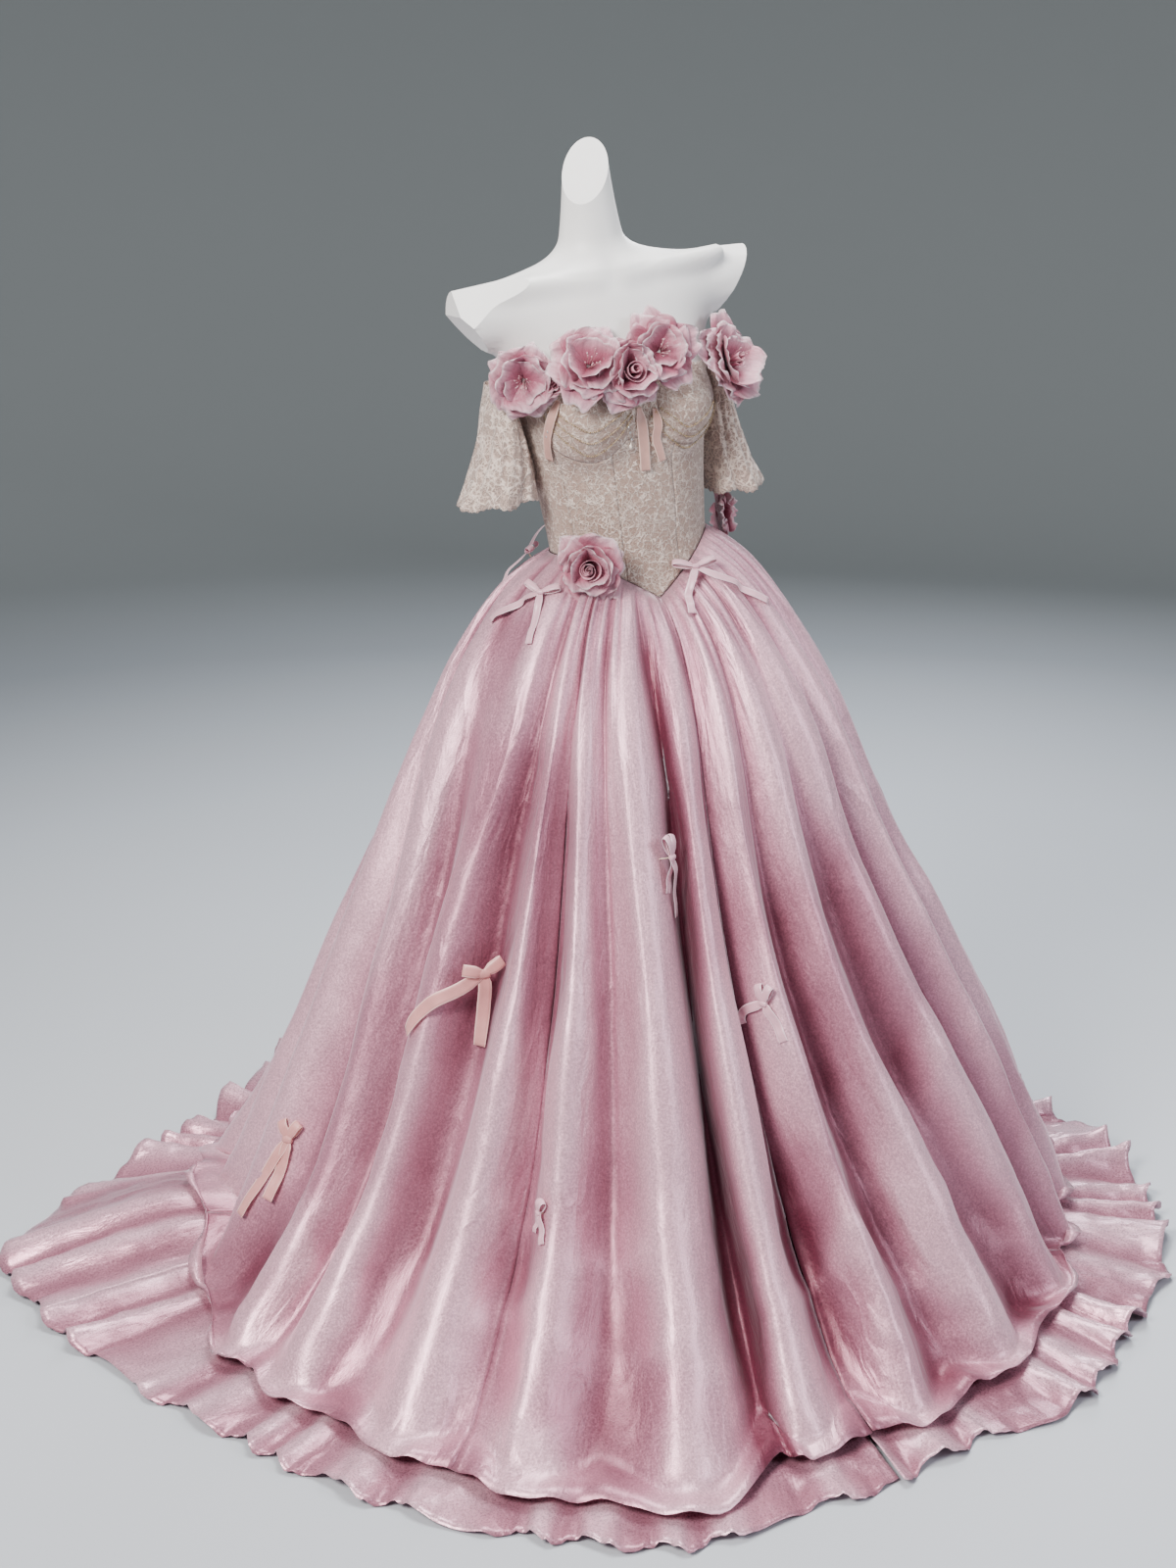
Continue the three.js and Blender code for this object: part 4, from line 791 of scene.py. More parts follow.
def satin_material(name, ridge, body, deep, rough, metal):
    """Satin organza: fine uneven grain, long threads, a pearly shine, and painted light and shade: lit pale
    on the ridges and shaded a deeper rose in the folds.
    """
    s = Shader(name, Metallic=metal, Specular_IOR_Level=0.5, Sheen_Weight=0.5)
    s.bsdf.inputs["Sheen Roughness"].default_value = 0.35
    s.bsdf.inputs["Sheen Tint"].default_value = linear("#f1dfe8")
    # Painted shade: the tone attribute picks the painted light colour on the ridges and the painted shade
    # colour in the folds
    fold = s.node("ShaderNodeAttribute", {"attribute_name": "tone"}).outputs["Fac"]
    cloud = s.noise(7, 2, 0.6)
    grit = s.noise(340, 2, 0.75)
    thread = s.noise(1, 1, 0.6, (900, 40, 1), "UV")
    place = s.math("ADD", fold, s.math("MULTIPLY", s.math("SUBTRACT", cloud, 0.5), 0.35))
    # ridge is the painted light colour, body the middle colour and deep the painted shade of the folds
    tone = s.ramp(place, [(0.0, ridge), (0.42, body), (1.0, deep)])
    speck = s.ramp(grit, [(0.32, 0.66), (0.5, 0.95), (0.7, 1.4)])
    s.set("Base Color", s.blend(0.7, tone, speck, "MULTIPLY"))
    low = s.spread(s.split("Object_z")[1], 0.02, 0.24, -0.07, 0.0)
    mixed = s.math("ADD", s.math("MULTIPLY", grit, 0.7), s.math("MULTIPLY", thread, 0.3))
    shine = s.ramp(mixed, [(0.3, rough - 0.1), (0.7, rough + 0.14)])
    s.set("Roughness", s.math("ADD", shine, low))
    crinkle = s.noise(1, 3, 0.62, (48, 15, 1), "UV", 0.6)
    pinch = s.voronoi(1, (17, 5.5, 1), "UV", (1.7, 0.9))
    patches = s.ramp(s.noise(5, 1, 0.6), [(0.46, 0.0), (0.62, 1.0)])
    pinched = s.math("MULTIPLY", s.ramp(pinch, [(0.0, 1.0), (0.2, 0.0)]), patches)
    first = s.relief(pinched, 0.3, 0.005, s.relief(crinkle, 0.34, 0.005))
    s.set("Normal", s.relief(grit, 0.28, 0.0007, s.relief(thread, 0.1, 0.0004, first)))


def lace_material(name, thread, ground, shades, size=1.0, holes=False):
    """Floral lace: raised cords round curled shapes over a fine net."""
    s = Shader(name, Roughness=0.72, Specular_IOR_Level=0.3, Sheen_Weight=0.35)
    curl = s.voronoi(76 / size, warp=(90 / size, 0.02 * size))
    cord = s.ramp(curl, [(0.02, 1.0), (0.09, 0.0)])
    small = s.voronoi(190 / size, warp=(200 / size, 0.006 * size))
    fine = s.ramp(small, [(0.03, 1.0), (0.14, 0.0)])
    net = s.voronoi(520)
    mesh = s.ramp(net, [(0.04, 0.8), (0.2, 0.0)])
    patch = s.ramp(s.noise(30, 3, 0.6), [(0.42, 0.15), (0.58, 1.0)])
    fill = s.math("MULTIPLY", fine, patch)
    under = s.math("MAXIMUM", s.math("MULTIPLY", fill, 0.8), s.math("MULTIPLY", mesh, 0.45))
    height = s.math("MAXIMUM", cord, under)
    cloud = s.ramp(s.noise(14, 4, 0.6), [(0.3, shades[0]), (0.7, shades[1])])
    base = s.blend(0.55, ground, cloud)
    s.set("Base Color", s.blend(height, base, thread))
    s.set("Normal", s.relief(height, 0.9, 0.0016))
    if holes:
        s.set("Alpha", s.ramp(height, [(0.1, 0.28), (0.4, 1.0)]))


def petal_material(name, heart, middle, rim, alpha):
    """Sheer ruffled petals: deep at the heart, pale at the rim with a painted highlight along its very edge,
    with fine veins.
    """
    s = Shader(name, Specular_IOR_Level=0.55, Sheen_Weight=0.3)
    s.bsdf.inputs["Sheen Roughness"].default_value = 0.3
    along = s.split()[1]
    vein = s.noise(1, 3, 0.6, (26, 2.2, 1), "UV")
    # The last stop is a painted highlight along the very rim
    tone = s.ramp(along, [(0.0, heart), (0.55, middle), (0.9, rim), (1.0, "#f2dde2")])
    mottle = s.math("ADD", s.math("MULTIPLY", vein, 0.6), s.math("MULTIPLY", s.noise(95, 3, 0.6), 0.4))
    shade = s.ramp(mottle, [(0.36, 0.66), (0.64, 1.22)])
    s.set("Base Color", s.blend(0.7, tone, shade, "MULTIPLY"))
    s.set("Alpha", s.ramp(along, [(0.0, 1.0), (0.55, mix(1, alpha, 0.4)), (1.0, alpha)]))
    grit = s.noise(500, 2, 0.6)
    s.set("Roughness", s.ramp(grit, [(0.3, 0.22), (0.7, 0.44)]))
    crush = s.noise(110, 4, 0.65, distort=0.5)
    crushed = s.relief(vein, 0.6, 0.0016, s.relief(crush, 0.55, 0.003))
    s.set("Normal", s.relief(grit, 0.15, 0.0004, crushed))


def ribbon_material(name, colour, edge, rough, alpha=None):
    """Narrow ribbon with a woven grain across it and firm pale edges."""
    s = Shader(name, Specular_IOR_Level=0.6, Sheen_Weight=0.25, Anisotropic=0.3)
    across = s.split()[0]
    rib = s.noise(1, 2, 0.6, (3, 420, 1), "UV")
    edges = s.math("ABSOLUTE", s.math("SUBTRACT", across, 0.5))
    border = s.ramp(edges, [(0.4, 0.0), (0.46, 1.0)])
    tone = s.blend(0.5, colour, s.ramp(s.noise(60, 3, 0.6), [(0.3, 0.82), (0.7, 1.12)]), "MULTIPLY")
    s.set("Base Color", s.blend(border, tone, edge))
    s.set("Roughness", s.ramp(rib, [(0.3, rough - 0.08), (0.7, rough + 0.1)]))
    s.set("Normal", s.relief(s.math("ADD", rib, s.math("MULTIPLY", border, 1.5)), 0.35, 0.0003))
    if alpha:
        s.set("Alpha", s.ramp(border, [(0.0, alpha), (1.0, 1.0)]))


def plain_material(name, colour, second, rough, scale, strength, **sockets):
    """Moulded or painted surface with slight mottling and a fine skin."""
    s = Shader(name, **sockets)
    tone = s.ramp(s.noise(scale, 4, 0.6), [(0.3, second), (0.7, colour)])
    s.set("Base Color", tone)
    fine = s.noise(900, 3, 0.6)
    s.set("Roughness", s.ramp(s.noise(scale * 3, 3, 0.6), [(0.3, rough - 0.06), (0.7, rough + 0.08)]))
    s.set("Normal", s.relief(fine, strength, 0.0002))


# Ridge, body and fold colours: the pale ridge colour is painted light and the deep rose is painted shade
satin_material("satin_organza", "#d4a6b4", "#b0778a", "#68293c", 0.42, 0.34)
satin_material("underlayer_organza", "#d2aab7", "#b27d8e", "#7b3d50", 0.36, 0.34)
lace_material("bodice_lace", "#dccabd", "#8f6a5b", ("#98786a", "#b99c8c"))
lace_material("sleeve_lace", "#dccabd", "#b8988a", ("#b3958a", "#cdb5a8"), 1.5, True)
petal_material("petal_organza", "#7d3347", "#b86f83", "#dba9b6", 0.62)
petal_material("heart_organza", "#7a3346", "#b0657a", "#dca2b0", 0.92)
ribbon_material("ribbon_satin", "#dba9b6", "#efd2da", 0.32)
ribbon_material("ribbon_organza", "#e09c98", "#efc0b8", 0.42, alpha=0.74)
ribbon_material("ribbon_organza_pale", "#d3a497", "#e3c1b4", 0.42, alpha=0.7)
plain_material("form_white", "#f1f0ee", "#e9e8e6", 0.42, 9, 0.08, Specular_IOR_Level=0.45)
plain_material("stand_paint", "#d9d9d8", "#cfcfce", 0.38, 12, 0.12, Metallic=0.35)
plain_material("bead_gold", "#b9a27e", "#a08a66", 0.26, 300, 0.05, Metallic=0.75)
plain_material("pearl", "#e9dfd2", "#d9cbbd", 0.2, 200, 0.03, Coat_Weight=0.6)
plain_material("stamen_rose", "#cfa6a9", "#9c626c", 0.3, 300, 0.05, Coat_Weight=0.4)
plain_material("crystal", "#dcdcdc", "#9a9a9a", 0.1, 260, 0.02, Metallic=0.6, Coat_Weight=0.8)
plain_material("thread_champagne", "#d8c7ae", "#c7b193", 0.66, 90, 0.3, Sheen_Weight=0.3)


# Dress form


def form_shell(bm):
    """Closed skin of the form, before it is cut."""
    rows = np.array(FORM_ROWS, float)
    place = np.arange(len(rows))
    fine = np.arange(0, len(rows) - 1 + 1e-6, 1 / 6)
    zs, rises = np.interp(fine, place, rows[:, 0]), np.interp(fine, place, rows[:, 1])
    angles = np.arange(0, 360, 2.5)
    worn = clamp((zs - PRESS["from"]) / 12) * clamp((PRESS["to"] - 12 - zs) / 12)
    out = -PRESS["depth"] * worn
    p = form_point(angles[None, :], zs[:, None], rises[:, None], out[:, None])
    verts = [bm.verts.new(v) for v in p.reshape(-1, 3)]
    for face in capped_faces(len(zs), len(angles)):
        bm.faces.new([verts[k] for k in face])


def cut_form(bm):
    """Flat cuts at the arms and the neck, with rounded rims."""
    edges = []
    for at, turn, rise in CUTS:
        geom = bm.verts[:] + bm.edges[:] + bm.faces[:]
        way = ray_way(turn, rise)
        bmesh.ops.bisect_plane(bm, geom=geom, plane_co=at, plane_no=way, clear_outer=True)
        rim = [e for e in bm.edges if e.is_boundary]
        bmesh.ops.holes_fill(bm, edges=rim, sides=0)
        edges += rim
    bmesh.ops.remove_doubles(bm, verts=bm.verts[:], dist=0.05)
    rims = [e for e in edges if e.is_valid]
    rounding = {"offset": RIM["round"], "segments": RIM["steps"], "profile": 0.5}
    bmesh.ops.bevel(bm, geom=rims, affect="EDGES", clamp_overlap=True, **rounding)


def make_form():
    bm = bmesh.new()
    form_shell(bm)
    cut_form(bm)
    for v in bm.verts:
        v.co = Vector(lean(np.array(v.co)) * MM)
    bmesh.ops.recalc_face_normals(bm, faces=bm.faces[:])
    mesh = bpy.data.meshes.new("dress_form_skin")
    bm.to_mesh(mesh)
    bm.free()
    obj = smooth_object("dress_form_skin", mesh, "form_white")
    even_shading(obj)
    take_over(obj, "form", "dress_form")


make_form()


# Stand


def turned_rows(profile, sides):
    """Rings of points round the upright axis from radius and height pairs."""
    a = circle(sides)
    rings = [np.stack([r * np.sin(a), -r * np.cos(a), np.full(sides, z)], -1) for r, z in profile]
    return np.stack(rings)


def lathe(name, profile, node, sides):
    """Turned piece of the stand, closed at both ends."""
    faces = capped_faces(len(profile), sides)
    obj = make_object(name, turned_rows(profile, sides), faces, "stand_paint")
    even_shading(obj)
    take_over(obj, "stand", node)


lathe("stand_base_plate", STAND_PLATE, "stand_base", 96)
lathe("stand_pole_tube", STAND_POLE, "stand_pole", 64)


# Bodice


def waist_z(angle):
    """Lower edge of the bodice, with its point at the front."""
    near = np.maximum(0, 1 - np.abs(signed(angle)) / WAIST["reach"])
    return WAIST["side"] - (WAIST["side"] - WAIST["point"]) * near ** WAIST["shape"]


def neckline_z(angle):
    """Upper edge of the bodice."""
    a = np.abs(signed(angle))
    front = mix(BODICE["top"], BODICE["side_top"], ease(clamp(a / 60)))
    back = mix(BODICE["side_top"], BODICE["back_top"], ease(clamp((a - 60) / 120)))
    return np.where(a < 60, front, back)


def cup_z(angle):
    """Seam under a cup."""
    u = clamp((np.abs(signed(angle)) - CUP["middle"]) / (CUP["seam"] - CUP["middle"]))
    return mix(mix(CUP["inner"], CUP["side"], u), CUP["low"], np.sin(u * math.pi))


EDGES = {"waist": waist_z, "neckline": neckline_z, "cup": cup_z}
BODICE_OUT = BODICE["clear"] + BODICE["wall"]


def scallop(angle):
    """Small scallops of the lace along the neckline."""
    return 1.6 * np.abs(np.sin(angle * DEG * 24))


def make_panel(name, start, end, low, high):
    angles = np.linspace(start + 0.05, end - 0.05, max(5, int((end - start) / 1.5) + 1))
    lows = EDGES[low](angles) + CUP["gap"] * 0.4
    highs = EDGES[high](angles) - (CUP["gap"] * 0.4 if high == "cup" else scallop(angles))
    count = max(12, int((highs - lows).max() / 4.5))
    t = np.linspace(0, 1, count)[:, None]
    zs = mix(lows[None, :], highs[None, :], t)
    across = np.broadcast_to(angles[None, :], zs.shape)
    seam = np.minimum(across - start, end - across)
    out = BODICE_OUT - 0.3 * np.exp(-((seam / 0.9) ** 2))
    p = lean(form_point(across, zs, 0, out))
    cloth_grid(name, p, "bodice_lace", "lace", "stretched", ["dress_form_skin"], thick=0.9)


for panel in PANELS:
    make_panel(*panel)


def body_frame(angle, z, out):
    """Place on the bodice or on the form: origin, way out, way up and way across."""
    skin = form_point(angle, z)
    n = form_normal(skin)
    start = lean(skin)
    way = lean(skin + n) - start
    return frame_of(start + way * (BODICE_OUT + out), way)


def turned(f, angle):
    """Frame turned about its own upright line."""
    c, s = math.cos(angle * DEG), math.sin(angle * DEG)
    n = f["n"] * c + np.cross(f["up"], f["n"]) * s
    return {"o": f["o"], "n": n, "up": f["up"], "side": np.cross(f["up"], n)}


def frame_of(origin, out):
    """Frame at a place: way out, way up and way across."""
    n = unit(out)
    up = unit(np.array([0, 0, 1.0]) - n * n[2])
    side = np.cross(up, n)
    return {"o": np.asarray(origin, float), "n": n, "up": up, "side": side}


def in_frame(f, across, up, out):
    """Places in a frame, across, up and out."""
    across, up, out = (np.asarray(v, float)[..., None] for v in (across, up, out))
    return f["o"] + f["side"] * across + f["up"] * up + f["n"] * out


# Sleeves

SLEEVE_CURVES = [curve(SLEEVE, c) for c in (1, 2, 3, 4)]


def sleeve_grid(side, zs, turns):
    """Points of a sleeve at heights of its table and turns round it."""
    mid_x, mid_y, wide, deep = (at(zs) for at in SLEEVE_CURVES)
    stretch, spread, inner = SLEEVE_SIDES[side]
    c = SLEEVE_CUT
    cuff = clamp((SLEEVE_CUFF - zs) / (SLEEVE_CUFF - SLEEVE_END)) ** 1.3
    wave = cuff * np.sin(turns * c["waves"]) * c["wave"]
    ripple = 1.8 * np.sin(turns * 9 + 1.3) + 1.2 * np.sin(turns * 17 + zs * 0.02)
    full = wave + clamp((SLEEVE_TOP - 6 - zs) / 90) * ripple
    fall = (SLEEVE_TOP - zs) * stretch
    z = SLEEVE_TOP - fall - cuff * np.cos(turns * c["waves"]) * c["dip"] * 0.5
    across = mid_x + np.sin(turns) * (wide + full)
    x = inner + (across - inner) * spread
    y = mid_y - np.cos(turns) * (deep + full)
    angle = np.arctan2(x, MIDDLE_Y - y) / DEG
    room = BODICE_OUT + c["clear"] + 0.2
    skin = form_point(angle, np.minimum(z, BODICE["top"] + 3), 0, room)
    reach = np.hypot(skin[..., 0], skin[..., 1] - MIDDLE_Y)
    here = np.maximum(1e-6, np.hypot(x, y - MIDDLE_Y))
    k = np.maximum(1, reach / here)
    return lean(np.stack([side * x * k, MIDDLE_Y + (y - MIDDLE_Y) * k, z], -1))


def make_sleeve(name, side, beside):
    turns = circle(144)[::side]
    z, turn = np.meshgrid(np.linspace(SLEEVE_END, SLEEVE_TOP, 44), turns, indexing="ij")
    edge = clamp((SLEEVE_END + 6 - z) / 6) * 2.2 * np.abs(np.sin(turn * 18))
    p = sleeve_grid(side, z - edge, turn)
    cloth_grid(name, p, "sleeve_lace", "lace", "hung", [beside], closed=True, thick=0.6)


make_sleeve("sleeve_left", 1, "bodice_side_left_3d")
make_sleeve("sleeve_right", -1, "bodice_side_right_3d")


# Skirt

flare_at = curve(SKIRT_PROFILE, 1)
depth_at = curve(SKIRT_PROFILE, 2)
gather_at = curve(SKIRT_PROFILE, 3)
hem_radius = curve(SKIRT_HEM, 1)
edge_radius = curve(FLOUNCE_EDGE, 1)
ruffle_at = curve(FLOUNCE_EDGE, 2)
middle = curve(SKIRT_MIDDLE, 1)
under_flare = curve(UNDERSKIRT_PROFILE, 1)
FOLD = np.array(FOLDS, float)


def ring_table(drop, clear):
    """Top of a skirt layer round the waist, ready to be read at any angle."""
    angles = np.arange(0, 361, 1.0)
    p = lean(form_point(angles, waist_z(angles) - drop, 0, clear))

    def at(angle):
        turn = np.asarray(angle) % 360
        return np.stack([np.interp(turn, angles, p[:, k]) for k in range(3)], -1)

    return at


skirt_top = ring_table(0.3, WAIST_CLEAR)
under_top = ring_table(UNDERSKIRT["drop"], UNDERSKIRT["clear"] + UNDERSKIRT["wall"])


def fold_row(k):
    """Row of the folds' table for a place among the folds."""
    return FOLD[np.mod(np.floor(k).astype(int), len(FOLD))]


def fold_angle(k, run):
    """Angle of a fold top, which shifts on its way down the skirt."""
    f = fold_row(k)
    high = mix(f[..., 1], f[..., 0], ease(clamp((run - 0.5) / 0.5)))
    low = mix(f[..., 2], f[..., 1], clamp((run - 0.15) / 0.35))
    return np.where(run > 0.5, high, low) + 360 * np.floor(k / len(FOLD))


def place_in(k, run):
    """Share of the way from one fold top to the next, with the valley off the middle."""
    u = k - np.floor(k)
    at = mix(0.5, fold_row(k)[..., 5], clamp((1 - run) * 4))
    return np.where(u < 0.5, u * 2 * at, at + (u - 0.5) * 2 * (1 - at))


def crest_height(angle, radius):
    """Long fold of the train that rises off the floor."""
    u = clamp((radius - CREST["from"]) / (CREST["to"] - CREST["from"]))
    side = bump(angle, CREST["angle"], CREST["spread"])
    return CREST["height"] * side * np.sin(math.pi * u**0.8) * (1 - u * 0.4)


def waist_reach(top):
    """How far the top of a skirt layer lies from the middle line."""
    return np.hypot(top[..., 0] - middle(top[..., 2]), top[..., 1])


def under_bottom(angle):
    """Radius of the underskirt's lower edge, where the flounce is sewn on."""
    return waist_reach(under_top(angle)) + UNDERSKIRT_PROFILE[-1][1]


def flounce_top(angle, radius):
    """Height that the skirt clears over the flounce."""
    inner = under_bottom(angle)
    mid = inner + FLOUNCE["middle"]
    edge = edge_radius(angle % 360)
    peak = FLOUNCE["floor"] + FLOUNCE["wall"] + ruffle_at(angle % 360) + 2
    near = mix(FLOUNCE["top"], FLOUNCE["middle_z"], clamp((radius - inner) / (mid - inner)))
    far = mix(FLOUNCE["middle_z"], peak, clamp((radius - mid) / (edge - mid)))
    return np.where(radius < mid, near, far) + crest_height(angle, radius)


def around_waist(top, top_angle, angle, radius, z, run):
    """Place on a ring that follows the waist above and runs round below."""
    near = ease(clamp((run - 0.75) / 0.25))
    waist = waist_reach(top)
    x0 = middle(z) + radius * np.sin(angle * DEG)
    y0 = -radius * np.cos(angle * DEG)
    x1 = top[..., 0] + (radius - waist) * np.sin(top_angle * DEG)
    y1 = top[..., 1] - (radius - waist) * np.cos(top_angle * DEG)
    return np.stack([mix(x0, x1, near), mix(y0, y1, near), z], -1)


def gathers(k, run):
    """Uneven gathers sewn in at the waist, which open out into the folds."""
    a = np.cos(k * 4.3 * math.pi + 0.9 * np.sin(k * 2.1))
    b = 0.6 * np.cos(k * 8.9 * math.pi + 1.1) + 0.4 * np.cos(k * 14.3 * math.pi + 2.0)
    sewn = clamp((run - 0.89) / 0.08)
    return gather_at(run) * (1.0 + 0.35 * np.sin(k * 1.7)) * (a + b * (0.15 + 0.6 * sewn))


def skirt_point(k, run, fine=True):
    """Outside of the skirt: k counts folds, run goes from 1 at the waist to 0 at the hem."""
    k, run = np.broadcast_arrays(np.asarray(k, float), np.asarray(run, float))
    fold = np.floor(k)
    f = fold_row(k)
    place = place_in(k, run)
    angle = mix(fold_angle(fold, run), fold_angle(fold + 1, run), place)
    valley = np.sin(math.pi * (k - fold)) ** 2
    deep = depth_at(run) * f[..., 3] * valley ** f[..., 4]
    one = np.ones_like(run)
    top_angle = mix(fold_angle(fold, one), fold_angle(fold + 1, one), place)
    top = skirt_top(top_angle)
    hem = hem_radius(angle % 360)
    wide = mix(1, hem / HEM_USUAL, clamp((0.3 - run) / 0.3) ** 1.5)
    gather = gathers(k, run) if fine else gather_at(run) * np.cos(k * 6 * math.pi)
    top_shape = 0.5 + 0.5 * np.sin(np.round(k) * 2.4 + 0.6)
    crown = (1 - valley) ** mix(1.2, 2.6, top_shape) * depth_at(run) * mix(0.06, 0.2, top_shape)
    crown = crown if fine else 0
    out = flare_at(run) * wide - deep + gather + crown
    waist = waist_reach(top)
    radius = np.where(run < 0.001, hem - deep * 0.6, waist + out)
    z = np.maximum(top[..., 2] * run, flounce_top(angle, radius) + FLOUNCE_GAP)
    return around_waist(top, top_angle, angle, radius, z, run)


def filled_creases():
    """The listed creases and a hundred slight ones between them."""
    rng = np.random.default_rng(20)
    rows = list(CREASES)
    for _ in range(100):
        k0 = rng.uniform(0, len(FOLDS))
        high = rng.uniform(0.45, 0.97)
        low = high - rng.uniform(0.25, 0.8)
        drift = rng.uniform(-0.5, 0.5)
        height = rng.uniform(1.0, 3.2) * (1 if rng.random() < 0.65 else -1)
        rows.append((k0, high, low, drift, height, rng.uniform(7, 20)))
    return rows


ALL_CREASES = filled_creases()


def crease_height(k, run):
    """Height of all the soft creases at places of the skirt."""
    total = np.zeros_like(run)
    span = len(FOLD)
    breadth = 2 * math.pi * (120 + flare_at(run)) / span
    for k0, high, low, drift, height, width in ALL_CREASES:
        away = (k - k0 - drift * (run - 0.5) + span / 2) % span - span / 2
        close = np.abs(away) < 1.2
        if not close.any():
            continue
        d = away * breadth / width
        fade = clamp((high - run) / 0.1) * clamp((run - low) / 0.12)
        total += np.where(close, height * np.exp(-(np.abs(d) ** 1.7)) * ease(fade), 0)
    return total


def swell(p, size, stretch=(1, 1, 1)):
    """Slow rise and fall over the cloth, from -1 to 1."""
    flat = (p.reshape(-1, 3) * np.array(stretch) / size).tolist()
    return np.array([noise.noise(Vector(v)) for v in flat]).reshape(p.shape[:-1])


def crumple(p, size, stretch=(1, 1, 1)):
    """Ridged small creases of crisp cloth, up to 1."""
    return 1 - np.abs(swell(p, size, stretch)) * 2


def gore_relief(base, k, run):
    """How far creases, crumples and slow waves move the cloth out of its folds."""
    low = clamp((0.42 - run) / 0.42)
    ridge = crumple(base, 95, (1, 1, 0.5)) - 0.75
    small = crumple(base + 900, 42, (1, 1, 0.7)) - 0.75
    move = crease_height(k, run) * clamp((0.985 - run) / 0.05)
    move = move + low * (ridge * 5.5 + small * 1.8) + clamp((0.93 - run) * 6) * (1 - low) * ridge * 1.6
    broad = swell(base + 300, 210, (1, 1, 0.42)) * 15 + swell(base, 95, (1, 1, 0.3)) * 4.5
    move = move + np.maximum(broad, -5) * clamp((0.95 - run) * 5)
    return move * clamp(run / 0.03)


def gore_painted_shade(k, run, move):
    """Painted light and shade of the cloth, from 0, lit, on the ridges to 1, shaded, deep in the folds."""
    f = fold_row(k)
    valley = np.sin(math.pi * (k - np.floor(k))) ** 2
    # Painted shade deep in the valleys; creases that stand out are painted lighter and sunk ones darker
    tone = 0.62 * f[..., 3] * valley ** (f[..., 4] * 1.2) * clamp((1.0 - run) * 12) - move / 22
    # Painted highlight along one strip, and painted shade in the deep recess beside it
    strip = np.exp(-(((k - PAINTED_HIGHLIGHT_STRIP) / 0.22) ** 2)) * 0.3
    recess = np.exp(-(((k - PAINTED_SHADE_RECESS) / 0.2) ** 2)) * 0.55 * clamp((0.93 - run) * 8)
    # Gathers that stand out are painted lighter
    return clamp(tone + 0.1 - 0.1 * gathers(k, run) - strip + recess)


def make_gore(name, first, last):
    start, end = first - 0.5, last + 0.5
    ks = np.linspace(start + 0.0008, end - 0.0008, int((end - start) * 22) + 1)
    runs = (1 - np.linspace(0, 1, 118) ** 0.92)[::-1]
    k, run = np.meshgrid(ks, runs)
    wider = np.concatenate([[ks[0] - 0.02], ks, [ks[-1] + 0.02]])
    around = skirt_point(*np.meshgrid(wider, runs))
    n = grid_normals(around)[:, 1:-1]
    base = around[:, 1:-1]
    move = gore_relief(base, k, run)
    p = base + n * move[..., None]
    wavy = 3.2 * np.sin(k * 13.7 + 1.4 * np.sin(k * 1.3)) + 2.2 * np.sin(k * 24.1 + 1)
    p[..., 2] += clamp((0.05 - run) / 0.05) * (wavy + 2)
    p[..., 2] = np.maximum(p[..., 2], 3)
    # Painted light and shade that the satin's colour reads
    tone = gore_painted_shade(k, run, move)
    cloth_grid(name, p, "satin_organza", "skirt_satin", "gathered", UNDER_BOTH, tone=tone)


for gore in GORES:
    make_gore(*gore)


# Underskirt


def make_underskirt(name, start, end):
    angles = np.linspace(start + 0.08, end - 0.08, 181)
    last = UNDERSKIRT_PROFILE[-1][0]
    runs = np.linspace(last, 1, 60)
    angle, run = np.meshgrid(angles, runs)
    top = under_top(angle)
    z = mix(FLOUNCE["top"] + 0.3, top[..., 2], (run - last) / (1 - last))
    radius = waist_reach(top) + under_flare(run)
    soft = clamp((1 - run) * 4) * clamp((run - last) * 8)
    radius = radius + soft * (2.2 * np.sin(angle * DEG * 34) + 1.8 * np.sin(angle * DEG * 57 + 1)) - soft * 2
    p = around_waist(top, angle, angle, radius, z, run)
    # Painted shade in bands that follow the ripples round the underskirt
    tone = 0.5 + 0.2 * np.sin(angle * DEG * 34)
    held = ("underlayer_organza", "underlayer", "gathered", ["dress_form_skin"])
    cloth_grid(name, p, *held, thick=0.7, tone=tone)


make_underskirt("underskirt_left", 0, 180)
make_underskirt("underskirt_right", 180, 360)


# Flounce


def wave_phase(waves):
    """Ruffles of uneven width."""
    return 2 * math.pi * (waves + 0.32 * np.sin(waves * 1.3) + 0.15 * np.sin(waves * 3.3 + 1))


def flounce_grid(waves, t):
    """Points of the flounce: t is 0 at its sewn edge and 1 at its rim."""
    angle = waves * 360 / FLOUNCE["waves"]
    phase = wave_phase(waves)
    inner = under_bottom(angle)
    mid = inner + FLOUNCE["middle"]
    edge = edge_radius(angle % 360) + FLOUNCE_CURL * np.sin(phase)
    part = FLOUNCE["part"]
    radius = np.where(t < part, mix(inner, mid, t / part), mix(mid, edge, (t - part) / (1 - part)))
    low = FLOUNCE["floor"] + FLOUNCE["wall"]
    lift = (1 + np.cos(phase)) / 2
    out = clamp((t - part) / (1 - part))
    uneven = 0.74 + 0.26 * np.sin(waves * 2.4) + 0.2 * np.sin(waves * 1.13 + 2)
    rim = low + ruffle_at(angle % 360) * lift * uneven * out**1.15
    upper = mix(FLOUNCE["top"], FLOUNCE["middle_z"], t / part)
    slope = np.where(t < part, upper, mix(FLOUNCE["middle_z"], low, out**0.8))
    z = np.where(t < part, slope, np.maximum(slope, low) + rim - low)
    lettuce = clamp((out - 0.8) / 0.2)
    z = z + lettuce * (2.4 * np.sin(phase * 3.2 + 0.7) + 1.6 * np.sin(phase * 5.3) + 2.6)
    z = np.maximum(z, low)
    z = z + crest_height(angle, radius)
    return np.stack([middle(z) + radius * np.sin(angle * DEG), -radius * np.cos(angle * DEG), z], -1)


